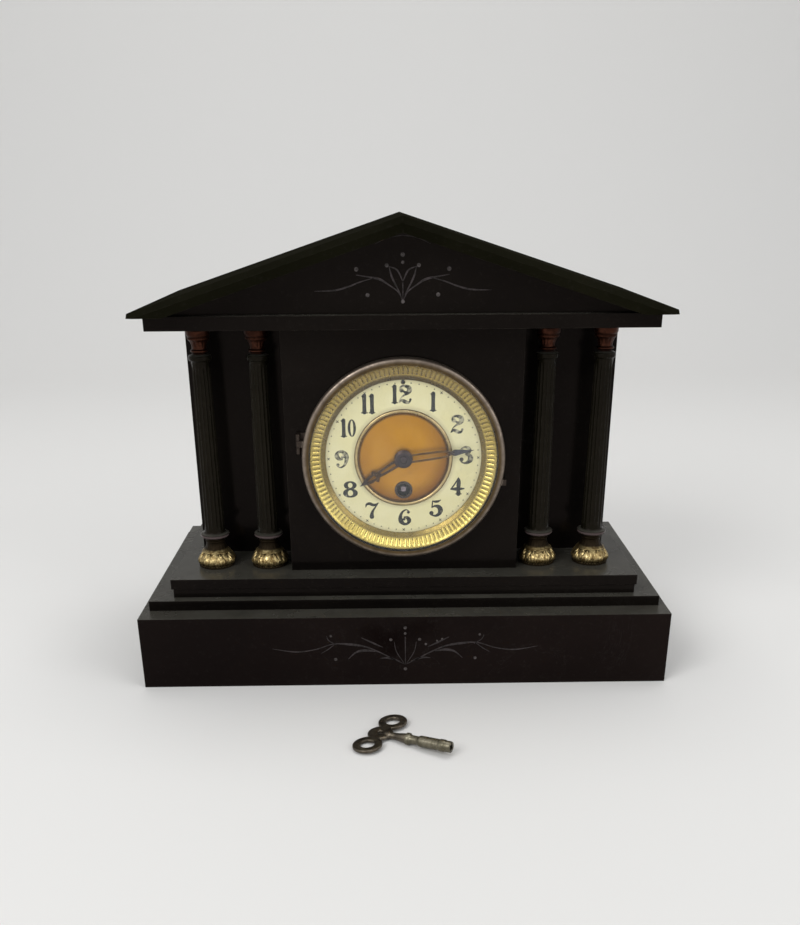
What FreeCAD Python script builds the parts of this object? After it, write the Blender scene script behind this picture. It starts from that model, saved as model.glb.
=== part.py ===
import FreeCAD, Part
import math
import os
import Sketcher
from FreeCAD import Placement, Rotation, Vector

# Black slate mantel clock shaped as a small temple, with a round brass pendulum movement.
# Millimetres. +Z is up, the front faces -Y. The origin is on the plinth's underside, in the middle
# of its width, and the plinth's front lies one plinth reach before it.

DOC = FreeCAD.newDocument("mantel_clock")
SHEET = DOC.addObject("Spreadsheet::Sheet", "Sizes")
ROWS = []
NODES = {}

UP_AXIS = Vector(0, 0, 1)
SIDE_AXIS = Vector(1, 0, 0)
DEPTH_AXIS = Vector(0, 1, 0)
# Turns a piece's own Z axis towards the viewer
FACING_FRONT = Rotation(SIDE_AXIS, 90)
# Turns a cylinder's axis from Z to Y, or from Z to X
ALONG_Y = Rotation(SIDE_AXIS, -90)
ALONG_X = Rotation(DEPTH_AXIS, 90)


class Size:
    """A number that also knows the formula, in cells of the sheet, that gives it."""

    def __init__(self, value, formula):
        self.value = float(value)
        self.formula = formula

    def __float__(self):
        return self.value

    def __neg__(self):
        return Size(-self.value, "-(" + self.formula + ")")

    def __add__(self, other):
        return joined(self, "+", other, float(self) + float(other))

    def __radd__(self, other):
        return joined(other, "+", self, float(other) + float(self))

    def __sub__(self, other):
        return joined(self, "-", other, float(self) - float(other))

    def __rsub__(self, other):
        return joined(other, "-", self, float(other) - float(self))

    def __mul__(self, other):
        return joined(self, "*", other, float(self) * float(other))

    def __rmul__(self, other):
        return joined(other, "*", self, float(other) * float(self))

    def __truediv__(self, other):
        return joined(self, "/", other, float(self) / float(other))


def formula_of(item):
    return item.formula if isinstance(item, Size) else "%.12g" % item


def joined(left, sign, right, value):
    return Size(value, "(%s %s %s)" % (formula_of(left), sign, formula_of(right)))


def size(alias, value):
    """A driving dimension: a plain number in a cell of its own, under its own alias."""
    ROWS.append(alias)
    row = str(len(ROWS))
    SHEET.set("A" + row, alias)
    SHEET.set("B" + row, str(value))
    SHEET.setAlias("B" + row, alias)
    return Size(value, "Sizes." + alias)


# Plinth and steps
plinth_depth = size("plinth_depth", 183)
plinth_reach = size("plinth_reach", 70)
plinth_height = size("plinth_height", 51)
plinth_wall = size("plinth_wall", 20)
pier_width = size("pier_width", 40)
lower_step_side_inset = size("lower_step_side_inset", 5)
lower_step_front_inset = size("lower_step_front_inset", 15)
lower_step_back_inset = size("lower_step_back_inset", 5)
lower_step_height = size("lower_step_height", 7)
upper_step_side_inset = size("upper_step_side_inset", 15)
upper_step_front_inset = size("upper_step_front_inset", 5.6)
upper_step_back_inset = size("upper_step_back_inset", 5)
upper_step_height = size("upper_step_height", 7)
rebate_height = size("rebate_height", 6.4)
rebate_depth = size("rebate_depth", 1.1)

# Upright slabs
body_wall = size("body_wall", 10)
body_side_inset = size("body_side_inset", 13.7)
body_back_inset = size("body_back_inset", 2)
block_margin = size("block_margin", 10.8)
block_setback = size("block_setback", 16.4)
dial_slab_thickness = size("dial_slab_thickness", 12)
wing_recess = size("wing_recess", 40)

# Entablature, pediment and roof
entablature_height = size("entablature_height", 8.6)
roof_side_overhang = size("roof_side_overhang", 8)
roof_front_overhang = size("roof_front_overhang", 9.5)
roof_back_overhang = size("roof_back_overhang", 3)
roof_rise = size("roof_rise", 56.9)
roof_thickness = size("roof_thickness", 9.5)
roof_tip_height = size("roof_tip_height", 2.6)
roof_bevel = size("roof_bevel", 3.6)
tympanum_setback = size("tympanum_setback", 8)
tympanum_thickness = size("tympanum_thickness", 12)

# Columns
column_setback = size("column_setback", 14.5)
column_block_gap = size("column_block_gap", 4.2)
column_spacing = size("column_spacing", 12.7)
column_edge_gap = size("column_edge_gap", 1.1)
column_base_radius = size("column_base_radius", 12.5)
column_base_height = size("column_base_height", 20.2)
column_foot_height = size("column_foot_height", 1.6)
column_bulge_height = size("column_bulge_height", 8.2)
column_bell_radius = size("column_bell_radius", 9.8)
column_bell_foot = size("column_bell_foot", 10.6)
column_waist_radius = size("column_waist_radius", 6.3)
shaft_foot_radius = size("shaft_foot_radius", 7.3)
shaft_head_radius = size("shaft_head_radius", 6)
shaft_ring_radius = size("shaft_ring_radius", 10)
shaft_ring_height = size("shaft_ring_height", 3.6)
shaft_collar_radius = size("shaft_collar_radius", 7.5)
shaft_collar_height = size("shaft_collar_height", 4.4)
capital_height = size("capital_height", 18)
capital_neck_radius = size("capital_neck_radius", 4.6)
capital_neck_height = size("capital_neck_height", 3.4)
capital_band_radius = size("capital_band_radius", 7.2)
capital_band_height = size("capital_band_height", 9.4)
capital_band_thickness = size("capital_band_thickness", 1.2)
capital_abacus_radius = size("capital_abacus_radius", 7.9)

# Bezel seat, glazed bezel and its hinge
bezel_foot_margin = size("bezel_foot_margin", 11.1)
bezel_head_margin = size("bezel_head_margin", 18.5)
slab_bore_clearance = size("slab_bore_clearance", 0.2)
seat_wall = size("seat_wall", 1.2)
seat_flange_width = size("seat_flange_width", 8.2)
seat_flange_thickness = size("seat_flange_thickness", 1.2)
seat_lip_width = size("seat_lip_width", 6.3)
seat_lip_thickness = size("seat_lip_thickness", 1.2)
bezel_overhang = size("bezel_overhang", 1.5)
bezel_rim_width = size("bezel_rim_width", 4.7)
bezel_height = size("bezel_height", 8)
bezel_gap = size("bezel_gap", 0.3)
bezel_shoulder = size("bezel_shoulder", 2.4)
glass_thickness = size("glass_thickness", 1.8)
glass_rebate = size("glass_rebate", 1.6)
glass_lip = size("glass_lip", 0.8)
hinge_rise = size("hinge_rise", 12)
hinge_outset = size("hinge_outset", 1.9)
hinge_level = size("hinge_level", 4.6)
knuckle_radius = size("knuckle_radius", 1.5)
knuckle_length = size("knuckle_length", 4.2)
knuckle_gap = size("knuckle_gap", 0.3)
hinge_pin_radius = size("hinge_pin_radius", 0.7)
pin_clearance = size("pin_clearance", 0.04)
catch_drop = size("catch_drop", 15.2)
catch_width = size("catch_width", 4)
catch_reach = size("catch_reach", 2.2)
catch_thickness = size("catch_thickness", 2.4)

# Dial
dial_setback = size("dial_setback", 2)
enamel_thickness = size("enamel_thickness", 1)
dial_plate_thickness = size("dial_plate_thickness", 0.8)
dial_plate_clearance = size("dial_plate_clearance", 0.3)
sight_slope_width = size("sight_slope_width", 5.6)
sight_overhang = size("sight_overhang", 4.7)
sight_height = size("sight_height", 3.4)
sight_depth = size("sight_depth", 4.2)
sight_wall = size("sight_wall", 0.9)
enamel_overlap = size("enamel_overlap", 1.8)
numeral_band_width = size("numeral_band_width", 19.2)
centre_disc_fit = size("centre_disc_fit", 0.1)
centre_ring_width = size("centre_ring_width", 2.4)
centre_hole_radius = size("centre_hole_radius", 3)
winding_drop = size("winding_drop", 22)
winding_hole_radius = size("winding_hole_radius", 4.5)
eyelet_width = size("eyelet_width", 1)
eyelet_height = size("eyelet_height", 0.8)
regulator_inset = size("regulator_inset", 1.6)
regulator_hole_radius = size("regulator_hole_radius", 1.5)
dial_foot_radius = size("dial_foot_radius", 1.5)
dial_foot_inset = size("dial_foot_inset", 5.2)

# Movement frame
movement_setback = size("movement_setback", 10.5)
plate_thickness = size("plate_thickness", 2)
plate_gap = size("plate_gap", 30)
front_plate_clearance = size("front_plate_clearance", 0.4)
back_plate_inset = size("back_plate_inset", 8.8)
pillar_radius = size("pillar_radius", 2.6)
pillar_inset = size("pillar_inset", 4.5)
running_clearance = size("running_clearance", 0.05)
arbor_shake = size("arbor_shake", 0.15)
wheel_thickness = size("wheel_thickness", 1)

# Wheels and pinions. Modules are lengths, and the tooth counts stand below the sizes
barrel_spacing = size("barrel_spacing", 3.28)
intermediate_module = size("intermediate_module", 0.42)
centre_module = size("centre_module", 0.33)
third_module = size("third_module", 0.3)
cannon_module = size("cannon_module", 0.5)
hour_module = size("hour_module", 0.48)
escape_radius = size("escape_radius", 10.5)
intermediate_level = size("intermediate_level", 1.8)
centre_level = size("centre_level", 4.5)
barrel_level = size("barrel_level", 7)
third_level = size("third_level", 13.5)
escape_level = size("escape_level", 23.3)
pinion_overhang = size("pinion_overhang", 0.7)
barrel_depth = size("barrel_depth", 20.5)
barrel_wall = size("barrel_wall", 1.2)
barrel_flange = size("barrel_flange", 2)
barrel_drum_inset = size("barrel_drum_inset", 0.72)
barrel_core_radius = size("barrel_core_radius", 3.2)
spring_thickness = size("spring_thickness", 0.45)
spring_gap = size("spring_gap", 0.4)
winding_arbor_radius = size("winding_arbor_radius", 2.5)
winding_pivot_radius = size("winding_pivot_radius", 1.6)
winding_square = size("winding_square", 3.4)
winding_square_end = size("winding_square_end", 4.6)
square_clearance = size("square_clearance", 0.04)
ratchet_radius = size("ratchet_radius", 8)
ratchet_tooth_depth = size("ratchet_tooth_depth", 1.1)
ratchet_thickness = size("ratchet_thickness", 1.2)
ratchet_gap = size("ratchet_gap", 0.3)
click_reach = size("click_reach", 12)
click_boss_radius = size("click_boss_radius", 2.2)
click_clearance = size("click_clearance", 0.5)
stud_radius = size("stud_radius", 1)
centre_arbor_radius = size("centre_arbor_radius", 1)
centre_pivot_radius = size("centre_pivot_radius", 0.6)
intermediate_arbor_radius = size("intermediate_arbor_radius", 1.2)
intermediate_pivot_radius = size("intermediate_pivot_radius", 0.7)
third_arbor_radius = size("third_arbor_radius", 0.9)
third_pivot_radius = size("third_pivot_radius", 0.5)
escape_arbor_radius = size("escape_arbor_radius", 0.8)
escape_pivot_radius = size("escape_pivot_radius", 0.45)
escape_tooth_depth = size("escape_tooth_depth", 1.5)

# Motion work and hands
cannon_level = size("cannon_level", 1.7)
cannon_pinion_height = size("cannon_pinion_height", 1.4)
cannon_pipe_radius = size("cannon_pipe_radius", 1.7)
minute_wheel_thickness = size("minute_wheel_thickness", 1)
minute_pinion_height = size("minute_pinion_height", 2.5)
hour_level = size("hour_level", 4.1)
hour_pipe_wall = size("hour_pipe_wall", 0.85)
hour_hand_level = size("hour_hand_level", 0.2)
hand_thickness = size("hand_thickness", 0.7)
hand_boss_height = size("hand_boss_height", 1)
hand_gap = size("hand_gap", 0.4)
hour_boss_radius = size("hour_boss_radius", 4.8)
minute_boss_radius = size("minute_boss_radius", 4.2)
hour_hand_reach = size("hour_hand_reach", 1.5)
minute_hand_margin = size("minute_hand_margin", 4.2)
hand_width = size("hand_width", 3.4)
hand_rail = size("hand_rail", 0.7)
hand_nut_radius = size("hand_nut_radius", 2.6)
hand_nut_height = size("hand_nut_height", 1.6)
hand_fit = size("hand_fit", 0.02)

# Anchor, pendulum and regulator
anchor_rise = size("anchor_rise", 35.3)
anchor_thickness = size("anchor_thickness", 1.8)
anchor_lift = size("anchor_lift", 0.8)
anchor_boss_radius = size("anchor_boss_radius", 2.2)
anchor_arm_width = size("anchor_arm_width", 2)
anchor_pivot_radius = size("anchor_pivot_radius", 0.45)
anchor_arbor_radius = size("anchor_arbor_radius", 0.9)
crutch_length = size("crutch_length", 24)
crutch_width = size("crutch_width", 2)
crutch_thickness = size("crutch_thickness", 1.2)
crutch_gap = size("crutch_gap", 2.1)
fork_width = size("fork_width", 4.4)
fork_height = size("fork_height", 2)
fork_clearance = size("fork_clearance", 0.1)
pendulum_setback = size("pendulum_setback", 7.5)
bob_floor_gap = size("bob_floor_gap", 7.2)
pendulum_rod_radius = size("pendulum_rod_radius", 0.8)
bob_radius = size("bob_radius", 13)
bob_thickness = size("bob_thickness", 7)
bob_edge = size("bob_edge", 1.2)
bob_nut_radius = size("bob_nut_radius", 2.2)
bob_nut_height = size("bob_nut_height", 2)
bob_nut_gap = size("bob_nut_gap", 0.2)
chops_width = size("chops_width", 4)
chops_height = size("chops_height", 4)
chops_gap = size("chops_gap", 0.4)
suspension_width = size("suspension_width", 4)
suspension_thickness = size("suspension_thickness", 0.24)
suspension_below_axis = size("suspension_below_axis", 1.9)
suspension_inset = size("suspension_inset", 0.2)
cock_width = size("cock_width", 12)
cock_plate_thickness = size("cock_plate_thickness", 1.6)
cock_plate_rise = size("cock_plate_rise", 2)
cock_plate_margin = size("cock_plate_margin", 3.4)
cock_arm_rise = size("cock_arm_rise", 8.8)
cock_arm_height = size("cock_arm_height", 3.5)
cock_arm_overhang = size("cock_arm_overhang", 4)
slit_clearance = size("slit_clearance", 0.02)
rating_block_height = size("rating_block_height", 3.5)
rating_block_rise = size("rating_block_rise", 2.8)
rating_block_width = size("rating_block_width", 10)
rating_block_depth = size("rating_block_depth", 6)
rating_slit = size("rating_slit", 0.35)
rating_stem_offset = size("rating_stem_offset", 4.6)
rating_stem_radius = size("rating_stem_radius", 0.8)
rating_stem_clearance = size("rating_stem_clearance", 0.2)
rating_nut_radius = size("rating_nut_radius", 2.2)
rating_nut_height = size("rating_nut_height", 1.2)
rating_nut_gap = size("rating_nut_gap", 2)
regulator_arbor_radius = size("regulator_arbor_radius", 0.9)
regulator_square = size("regulator_square", 1.2)
regulator_square_length = size("regulator_square_length", 4)
regulator_proud = size("regulator_proud", 0.4)
regulator_cog_gap = size("regulator_cog_gap", 0.8)
regulator_cog_radius = size("regulator_cog_radius", 2.2)
regulator_cog_height = size("regulator_cog_height", 1.2)

# Back ring, back door and tie rods
tie_inset = size("tie_inset", 3.8)
back_ring_inset = size("back_ring_inset", 4)
back_ring_wall = size("back_ring_wall", 0.8)
back_flange_margin = size("back_flange_margin", 3.5)
back_flange_thickness = size("back_flange_thickness", 1.2)
back_bore_clearance = size("back_bore_clearance", 0.15)
back_door_overlap = size("back_door_overlap", 0.6)
back_door_thickness = size("back_door_thickness", 1.2)
back_door_gap = size("back_door_gap", 0.2)
back_hinge_outset = size("back_hinge_outset", 3.4)
back_knuckle_radius = size("back_knuckle_radius", 1.4)
back_knob_radius = size("back_knob_radius", 2.6)
back_knob_height = size("back_knob_height", 4)
back_knob_inset = size("back_knob_inset", 8.6)
tie_rod_radius = size("tie_rod_radius", 2)
tie_screw_radius = size("tie_screw_radius", 1.2)
tie_screw_length = size("tie_screw_length", 20)
tie_head_radius = size("tie_head_radius", 2.5)
tie_head_height = size("tie_head_height", 1.6)
tie_clearance = size("tie_clearance", 0.1)

# Winding key
key_barrel_radius = size("key_barrel_radius", 3.7)
key_barrel_start = size("key_barrel_start", 19.8)
key_barrel_length = size("key_barrel_length", 30)
key_square = size("key_square", 3.5)
key_square_depth = size("key_square_depth", 14)
key_collar_radius = size("key_collar_radius", 3.9)
key_collar_length = size("key_collar_length", 2)
key_neck_radius = size("key_neck_radius", 2.2)
key_bow_thickness = size("key_bow_thickness", 2.4)
key_ring_radius = size("key_ring_radius", 9.4)
key_ring_hole = size("key_ring_hole", 5.2)
key_ring_offset = size("key_ring_offset", 15.7)
key_hub_radius = size("key_hub_radius", 7.4)
key_hub_hole = size("key_hub_hole", 2.4)
key_place_side = size("key_place_side", -17.1)
key_distance = size("key_distance", 69)

# One overrun serves every through cut
overrun = size("overrun", 1)

# Directions in degrees, as seen from the front: hands clockwise from twelve, the rest from the right
HOUR_HAND_DIRECTION = 238
MINUTE_HAND_DIRECTION = 82.5
MINUTE_STUD_DIRECTION = 20
CLICK_DIRECTION = 17
CLICK_TIP_DIRECTION = 57
DIAL_FOOT_DIRECTION = 30
PILLAR_DIRECTION = 45
TIE_DIRECTION = 25
KEY_DIRECTION = -30.1

# How many pieces stand round a circle
DIAL_FOOT_COUNT = 3
PILLAR_COUNT = 4
CROSSING_COUNT = 4

# Tooth counts. Barrel to centre is 36 to 1, centre to escape wheel 1 to 150, minute to hour 12 to 1
BARREL_TEETH = 72
INTERMEDIATE_LEAVES = 12
INTERMEDIATE_TEETH = 72
CENTRE_LEAVES = 12
CENTRE_TEETH = 96
THIRD_LEAVES = 8
THIRD_TEETH = 100
ESCAPE_LEAVES = 8
ESCAPE_TEETH = 40
CANNON_LEAVES = 12
MINUTE_TEETH = 36
MINUTE_LEAVES = 10
HOUR_TEETH = 40
RATCHET_TEETH = 24
ANCHOR_SPAN_HALF_TEETH = 19
SPRING_TURNS = 6
SPRING_STEPS = 16

# Tooth form: lengths are shares of the module, the backlash is a share of the tooth
PRESSURE_ANGLE = math.radians(25)
ADDENDUM_SHARE = 0.7
DEDENDUM_SHARE = 0.95
BACKLASH_SHARE = 0.12

# Pointed teeth lean by a share of their pitch, and the click narrows by a share of its boss
RATCHET_LEAN_SHARE = 0.2
ESCAPE_LEAN_SHARE = 0.35
CLICK_BEAK_SHARE = 0.7

# Windows of the wheels and shapes of the hands, as shares of the wheel's radius and of the hand
CROSSING_SPOKE_SHARE = 0.1
CROSSING_RIM_SHARE = 0.82
CROSSING_HUB_SHARE = 0.32
HAND_CROSS_SHARE = 0.66
HAND_ARM_SHARE = 0.85

# How far each curved stretch of an outline swells, as a share of its chord, by its number
BASE_BULGE_SHARES = {2: 0.3, 4: -0.22}
SHAFT_BULGE_SHARES = {1: -0.2, 2: 0.35, 6: 0.3}
CAPITAL_BULGE_SHARES = {2: 0.45, 4: -0.18, 5: 0.4}
BEZEL_BULGE_SHARES = {2: 0.2}
CENTRE_RING_BULGE_SHARES = {2: 0.4}
NUT_BULGE_SHARES = {2: 0.2}
BOB_BULGE_SHARES = {0: 0.1, 2: 0.1}

DOC.recompute()

def square_root(value):
    return Size(math.sqrt(float(value)), "sqrt(" + formula_of(value) + ")")


def at_angle(radius, degrees):
    """A point at a distance and a direction."""
    angle = math.radians(degrees)
    return radius * math.cos(angle), radius * math.sin(angle)


def round_circle(radius, first_direction, count):
    """Points evenly spaced on a circle."""
    return [at_angle(radius, first_direction + index * 360 / count) for index in range(count)]


def gear_distance(module, teeth, leaves):
    return module * (teeth + leaves) / 2


def meeting_point(first, first_distance, second, second_distance):
    """Where circles round two points of the Y axis meet, on the right of the way between them."""
    apart = second[1] - first[1]
    squares = first_distance * first_distance - second_distance * second_distance
    along = (squares / apart + apart) / 2
    aside = square_root(first_distance * first_distance - along * along)
    return (aside if float(apart) > 0 else -aside), first[1] + along


# The movement comes first, and the dial, the bezel and the case fit round it.
# Its frame has X and Y across the dial from the centre, and Z forward from the dial slab's front.
barrel_module = (winding_drop - barrel_spacing) * 2 / BARREL_TEETH
barrel_drum_radius = winding_drop - barrel_spacing - barrel_drum_inset
ANCHOR_HALF_SPAN = math.pi * ANCHOR_SPAN_HALF_TEETH / 2 / ESCAPE_TEETH
CENTRE = (0, 0)
BARREL = (0, -winding_drop)
ANCHOR = (0, anchor_rise)
ESCAPE = (0, anchor_rise - escape_radius / math.cos(ANCHOR_HALF_SPAN))
INTERMEDIATE = meeting_point(
    BARREL, gear_distance(barrel_module, BARREL_TEETH, INTERMEDIATE_LEAVES),
    CENTRE, gear_distance(intermediate_module, INTERMEDIATE_TEETH, CENTRE_LEAVES),
)
THIRD = meeting_point(
    ESCAPE, gear_distance(third_module, THIRD_TEETH, ESCAPE_LEAVES),
    CENTRE, gear_distance(centre_module, CENTRE_TEETH, THIRD_LEAVES),
)
MINUTE = at_angle(gear_distance(cannon_module, MINUTE_TEETH, CANNON_LEAVES), MINUTE_STUD_DIRECTION)
CLICK_CENTRE = at_angle(click_reach, CLICK_DIRECTION)
CLICK = (CLICK_CENTRE[0], CLICK_CENTRE[1] - winding_drop)

cock_arm_top = anchor_rise + cock_arm_rise + cock_arm_height
regulator_rise = cock_arm_top + regulator_cog_gap + regulator_cog_radius
sight_inner_radius = regulator_rise + regulator_inset
enamel_radius = sight_inner_radius + enamel_overlap
centre_disc_radius = sight_inner_radius - numeral_band_width
dial_foot_circle = sight_inner_radius - dial_foot_inset
hour_hand_length = centre_disc_radius + hour_hand_reach
minute_hand_length = sight_inner_radius - minute_hand_margin
seat_radius = sight_inner_radius + sight_slope_width
sight_outer_radius = seat_radius + sight_overhang
seat_inner_radius = seat_radius - seat_wall
seat_flange_radius = seat_radius + seat_flange_width
bezel_radius = seat_flange_radius + bezel_overhang
hinge_offset = bezel_radius + hinge_outset
front_plate_radius = seat_inner_radius - front_plate_clearance
back_plate_radius = seat_radius - back_plate_inset
pillar_circle = back_plate_radius - pillar_inset
tie_circle = seat_radius - tie_inset
back_ring_radius = tie_circle - back_ring_inset
back_flange_radius = tie_circle + back_flange_margin
back_door_radius = back_ring_radius + back_door_overlap
back_hinge_offset = back_door_radius + back_hinge_outset
back_knob_offset = back_door_radius - back_knob_inset
PILLARS = round_circle(pillar_circle, PILLAR_DIRECTION, PILLAR_COUNT)
DIAL_FEET = round_circle(dial_foot_circle, DIAL_FOOT_DIRECTION, DIAL_FOOT_COUNT)
TIES = [at_angle(tie_circle, direction) for direction in (TIE_DIRECTION, 180 - TIE_DIRECTION)]

# Widths of the case, from the middle outwards
block_half = bezel_radius + block_margin
inner_column = block_half + column_block_gap + column_base_radius
outer_column = inner_column + 2 * column_base_radius + column_spacing
body_half = outer_column + column_base_radius + column_edge_gap
upper_step_half = body_half + body_side_inset
lower_step_half = upper_step_half + upper_step_side_inset
plinth_half = lower_step_half + lower_step_side_inset
roof_half = upper_step_half + roof_side_overhang
roof_foot = (roof_rise - roof_thickness) * roof_half / (roof_rise - roof_tip_height)

# Depths, from the plinth inwards
plinth_front = -plinth_reach
plinth_back = plinth_depth - plinth_reach
lower_step_front = plinth_front + lower_step_front_inset
lower_step_back = plinth_back - lower_step_back_inset
upper_step_front = lower_step_front + upper_step_front_inset
upper_step_back = lower_step_back - upper_step_back_inset
body_back = upper_step_back - body_back_inset
body_back_inside = body_back - body_wall
front = upper_step_front + block_setback
dial_slab_back = front + dial_slab_thickness
wing_front = front + wing_recess
wing_back = wing_front + body_wall
roof_front = upper_step_front - roof_front_overhang
roof_back = upper_step_back + roof_back_overhang

# Heights, from the plinth up
lower_step_top = plinth_height + lower_step_height
rebate_top = lower_step_top + rebate_height
deck = rebate_top + upper_step_height
dial_height = bezel_radius + bezel_foot_margin
body_height = dial_height + bezel_radius + bezel_head_margin
dial_centre = deck + dial_height
body_top = deck + body_height
roof_base = body_top + entablature_height
bob_bottom = bob_radius + bob_nut_gap + 2 * bob_nut_height
pendulum_length = anchor_rise + dial_height - bob_bottom - bob_floor_gap

# Levels of the movement frame
dial_face = -dial_setback
enamel_back = dial_face - enamel_thickness
dial_back = enamel_back - dial_plate_thickness
front_plate_face = -movement_setback
front_plate_back = front_plate_face - plate_thickness
back_plate_face = front_plate_back - plate_gap
back_plate_back = back_plate_face - plate_thickness
pendulum_plane = back_plate_back - pendulum_setback
case_back_level = front - body_back
case_inside_level = front - body_back_inside
hour_pipe_end = hour_hand_level + hand_boss_height
minute_hand_level = hour_pipe_end + hand_gap
cannon_pipe_end = minute_hand_level + hand_boss_height
centre_arbor_end = cannon_pipe_end + hand_nut_height - hand_gap
hour_bore_radius = cannon_pipe_radius + running_clearance
hour_pipe_radius = hour_bore_radius + hour_pipe_wall
back_hinge_level = case_back_level - back_flange_thickness - back_door_gap - back_knuckle_radius


def keep(label, piece):
    """Gives a finished sub-part its name."""
    piece.Label = label
    NODES[label] = piece
    return piece


def placed(piece, corner, rotation=Rotation()):
    """Puts a piece at a point, each coordinate bound to its formula."""
    piece.Placement = Placement(Vector(*[float(value) for value in corner]), rotation)
    for axis, value in zip("xyz", corner):
        if isinstance(value, Size):
            piece.setExpression("Placement.Base." + axis, value.formula)
    return piece


def in_movement(piece, level=0, x=0, y=0):
    """Puts a piece of the movement frame in the clock, its own Z axis towards the viewer."""
    return placed(piece, (x, front - level, dial_centre + y), FACING_FRONT)


def sized(piece, **sizes):
    for name, value in sizes.items():
        if isinstance(value, Size):
            piece.setExpression(name, value.formula)
        else:
            setattr(piece, name, float(value))
    return piece


def block(name, low, high):
    """A box between two corners."""
    box = DOC.addObject("Part::Box", name)
    sized(box, Length=high[0] - low[0], Width=high[1] - low[1], Height=high[2] - low[2])
    return placed(box, low)


def rod(name, radius, low, high, x=0, y=0):
    """A cylinder along Z."""
    cylinder = DOC.addObject("Part::Cylinder", name)
    sized(cylinder, Radius=radius, Height=high - low)
    return placed(cylinder, (x, y, low))


def upright_rod(name, radius, low, high, x, z):
    """A cylinder along Y, which stands upright in the movement frame."""
    cylinder = DOC.addObject("Part::Cylinder", name)
    sized(cylinder, Radius=radius, Height=high - low)
    return placed(cylinder, (x, low, z), ALONG_Y)


def fused(name, pieces):
    """One solid of several pieces, or a lone piece kept in its place."""
    kind = "Part::MultiFuse" if len(pieces) > 1 else "Part::Compound"
    union = DOC.addObject(kind, name)
    if len(pieces) > 1:
        union.Shapes = pieces
    else:
        union.Links = pieces
    return union


def cut(name, base, tools):
    result = DOC.addObject("Part::Cut", name)
    result.Base = base
    result.Tool = tools[0] if len(tools) == 1 else fused(name + "_cuts", tools)
    return result


def solid(name, shape):
    """A piece whose shape comes from a function, such as a toothed wheel."""
    piece = DOC.addObject("Part::Feature", name)
    piece.Shape = shape
    return piece


def origin_plane(body, role):
    return next(item for item in body.Origin.OriginFeatures if item.Role == role)


def new_sketch(body, role, name):
    sketch = body.newObject("Sketcher::SketchObject", name)
    sketch.AttachmentSupport = [(origin_plane(body, role), "")]
    sketch.MapMode = "FlatFace"
    return sketch


def pin_down(sketch, kind, geometry, point, value):
    """Holds one coordinate of a sketch point, bound to its formula."""
    number = sketch.addConstraint(
        Sketcher.Constraint(kind, -1, 1, geometry, point, float(value))
    )
    if isinstance(value, Size):
        sketch.setExpression("Constraints[%d]" % number, value.formula)


def draw_outline(sketch, outline, bulges):
    """A closed outline of lines and arcs. A bulge is the arc's rise as a share of its chord."""
    count = len(outline)
    for index in range(count):
        start = Vector(float(outline[index][0]), float(outline[index][1]), 0)
        following = outline[(index + 1) % count]
        end = Vector(float(following[0]), float(following[1]), 0)
        share = bulges.get(index)
        if share:
            chord = end - start
            middle = (start + end) / 2 + Vector(chord.y, -chord.x, 0) * share
            sketch.addGeometry(Part.Arc(start, middle, end), False)
        else:
            sketch.addGeometry(Part.LineSegment(start, end), False)
    for index in range(count):
        following = (index + 1) % count
        end_point = end_of(sketch, index, outline[following])
        start_point = start_of(sketch, following, outline[following])
        sketch.addConstraint(
            Sketcher.Constraint("Coincident", index, end_point, following, start_point)
        )
    for index, (x, y) in enumerate(outline):
        point = start_of(sketch, index, outline[index])
        pin_down(sketch, "DistanceX", index, point, x)
        pin_down(sketch, "DistanceY", index, point, y)


def nearest_end(sketch, index, place):
    """Which end of a sketch element lies at a place: 1 is its start and 2 its end."""
    goal = Vector(float(place[0]), float(place[1]), 0)
    return min((1, 2), key=lambda end: sketch.getPoint(index, end).distanceToPoint(goal))


def start_of(sketch, index, place):
    return nearest_end(sketch, index, place)


def end_of(sketch, index, place):
    return nearest_end(sketch, index, place)


def draw_circles(sketch, circles):
    """Circles given as radius, x and y."""
    for radius, x, y in circles:
        centre = Vector(float(x), float(y), 0)
        index = sketch.addGeometry(Part.Circle(centre, UP_AXIS, float(radius)), False)
        number = sketch.addConstraint(Sketcher.Constraint("Radius", index, float(radius)))
        if isinstance(radius, Size):
            sketch.setExpression("Constraints[%d]" % number, radius.formula)
        pin_down(sketch, "DistanceX", index, 3, x)
        pin_down(sketch, "DistanceY", index, 3, y)


def plate(name, outline, thickness, holes=(), plane="XY_Plane", bulges=None):
    """A flat piece: a padded outline, or a disc when the outline is a radius, with round holes."""
    body = DOC.addObject("PartDesign::Body", name)
    sketch = new_sketch(body, plane, name + "_outline")
    if isinstance(outline, Size):
        draw_circles(sketch, [(outline, 0, 0)])
    else:
        draw_outline(sketch, outline, bulges or {})
    pad = body.newObject("PartDesign::Pad", name + "_pad")
    pad.Profile = sketch
    pad.setExpression("Length", thickness.formula)
    if holes:
        DOC.recompute()
        before = body.Shape.Volume
        hole_sketch = new_sketch(body, plane, name + "_holes")
        draw_circles(hole_sketch, holes)
        pocket = body.newObject("PartDesign::Pocket", name + "_bores")
        pocket.Profile = hole_sketch
        pocket.Type = "ThroughAll"
        pocket.Reversed = True
        DOC.recompute()
        if not body.Shape.Volume < before:
            raise RuntimeError(name + ": the holes cut nothing")
    return body


def turned(name, outline, bulges=None):
    """A turned piece: half its section, as radius and height, revolved round its own Z axis."""
    body = DOC.addObject("PartDesign::Body", name)
    sketch = new_sketch(body, "XZ_Plane", name + "_section")
    draw_outline(sketch, outline, bulges or {})
    revolution = body.newObject("PartDesign::Revolution", name + "_turning")
    revolution.Profile = sketch
    revolution.ReferenceAxis = (sketch, ["V_Axis"])
    revolution.Angle = 360
    return body


# Toothed wheels
def involute(angle):
    return math.tan(angle) - angle


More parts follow.
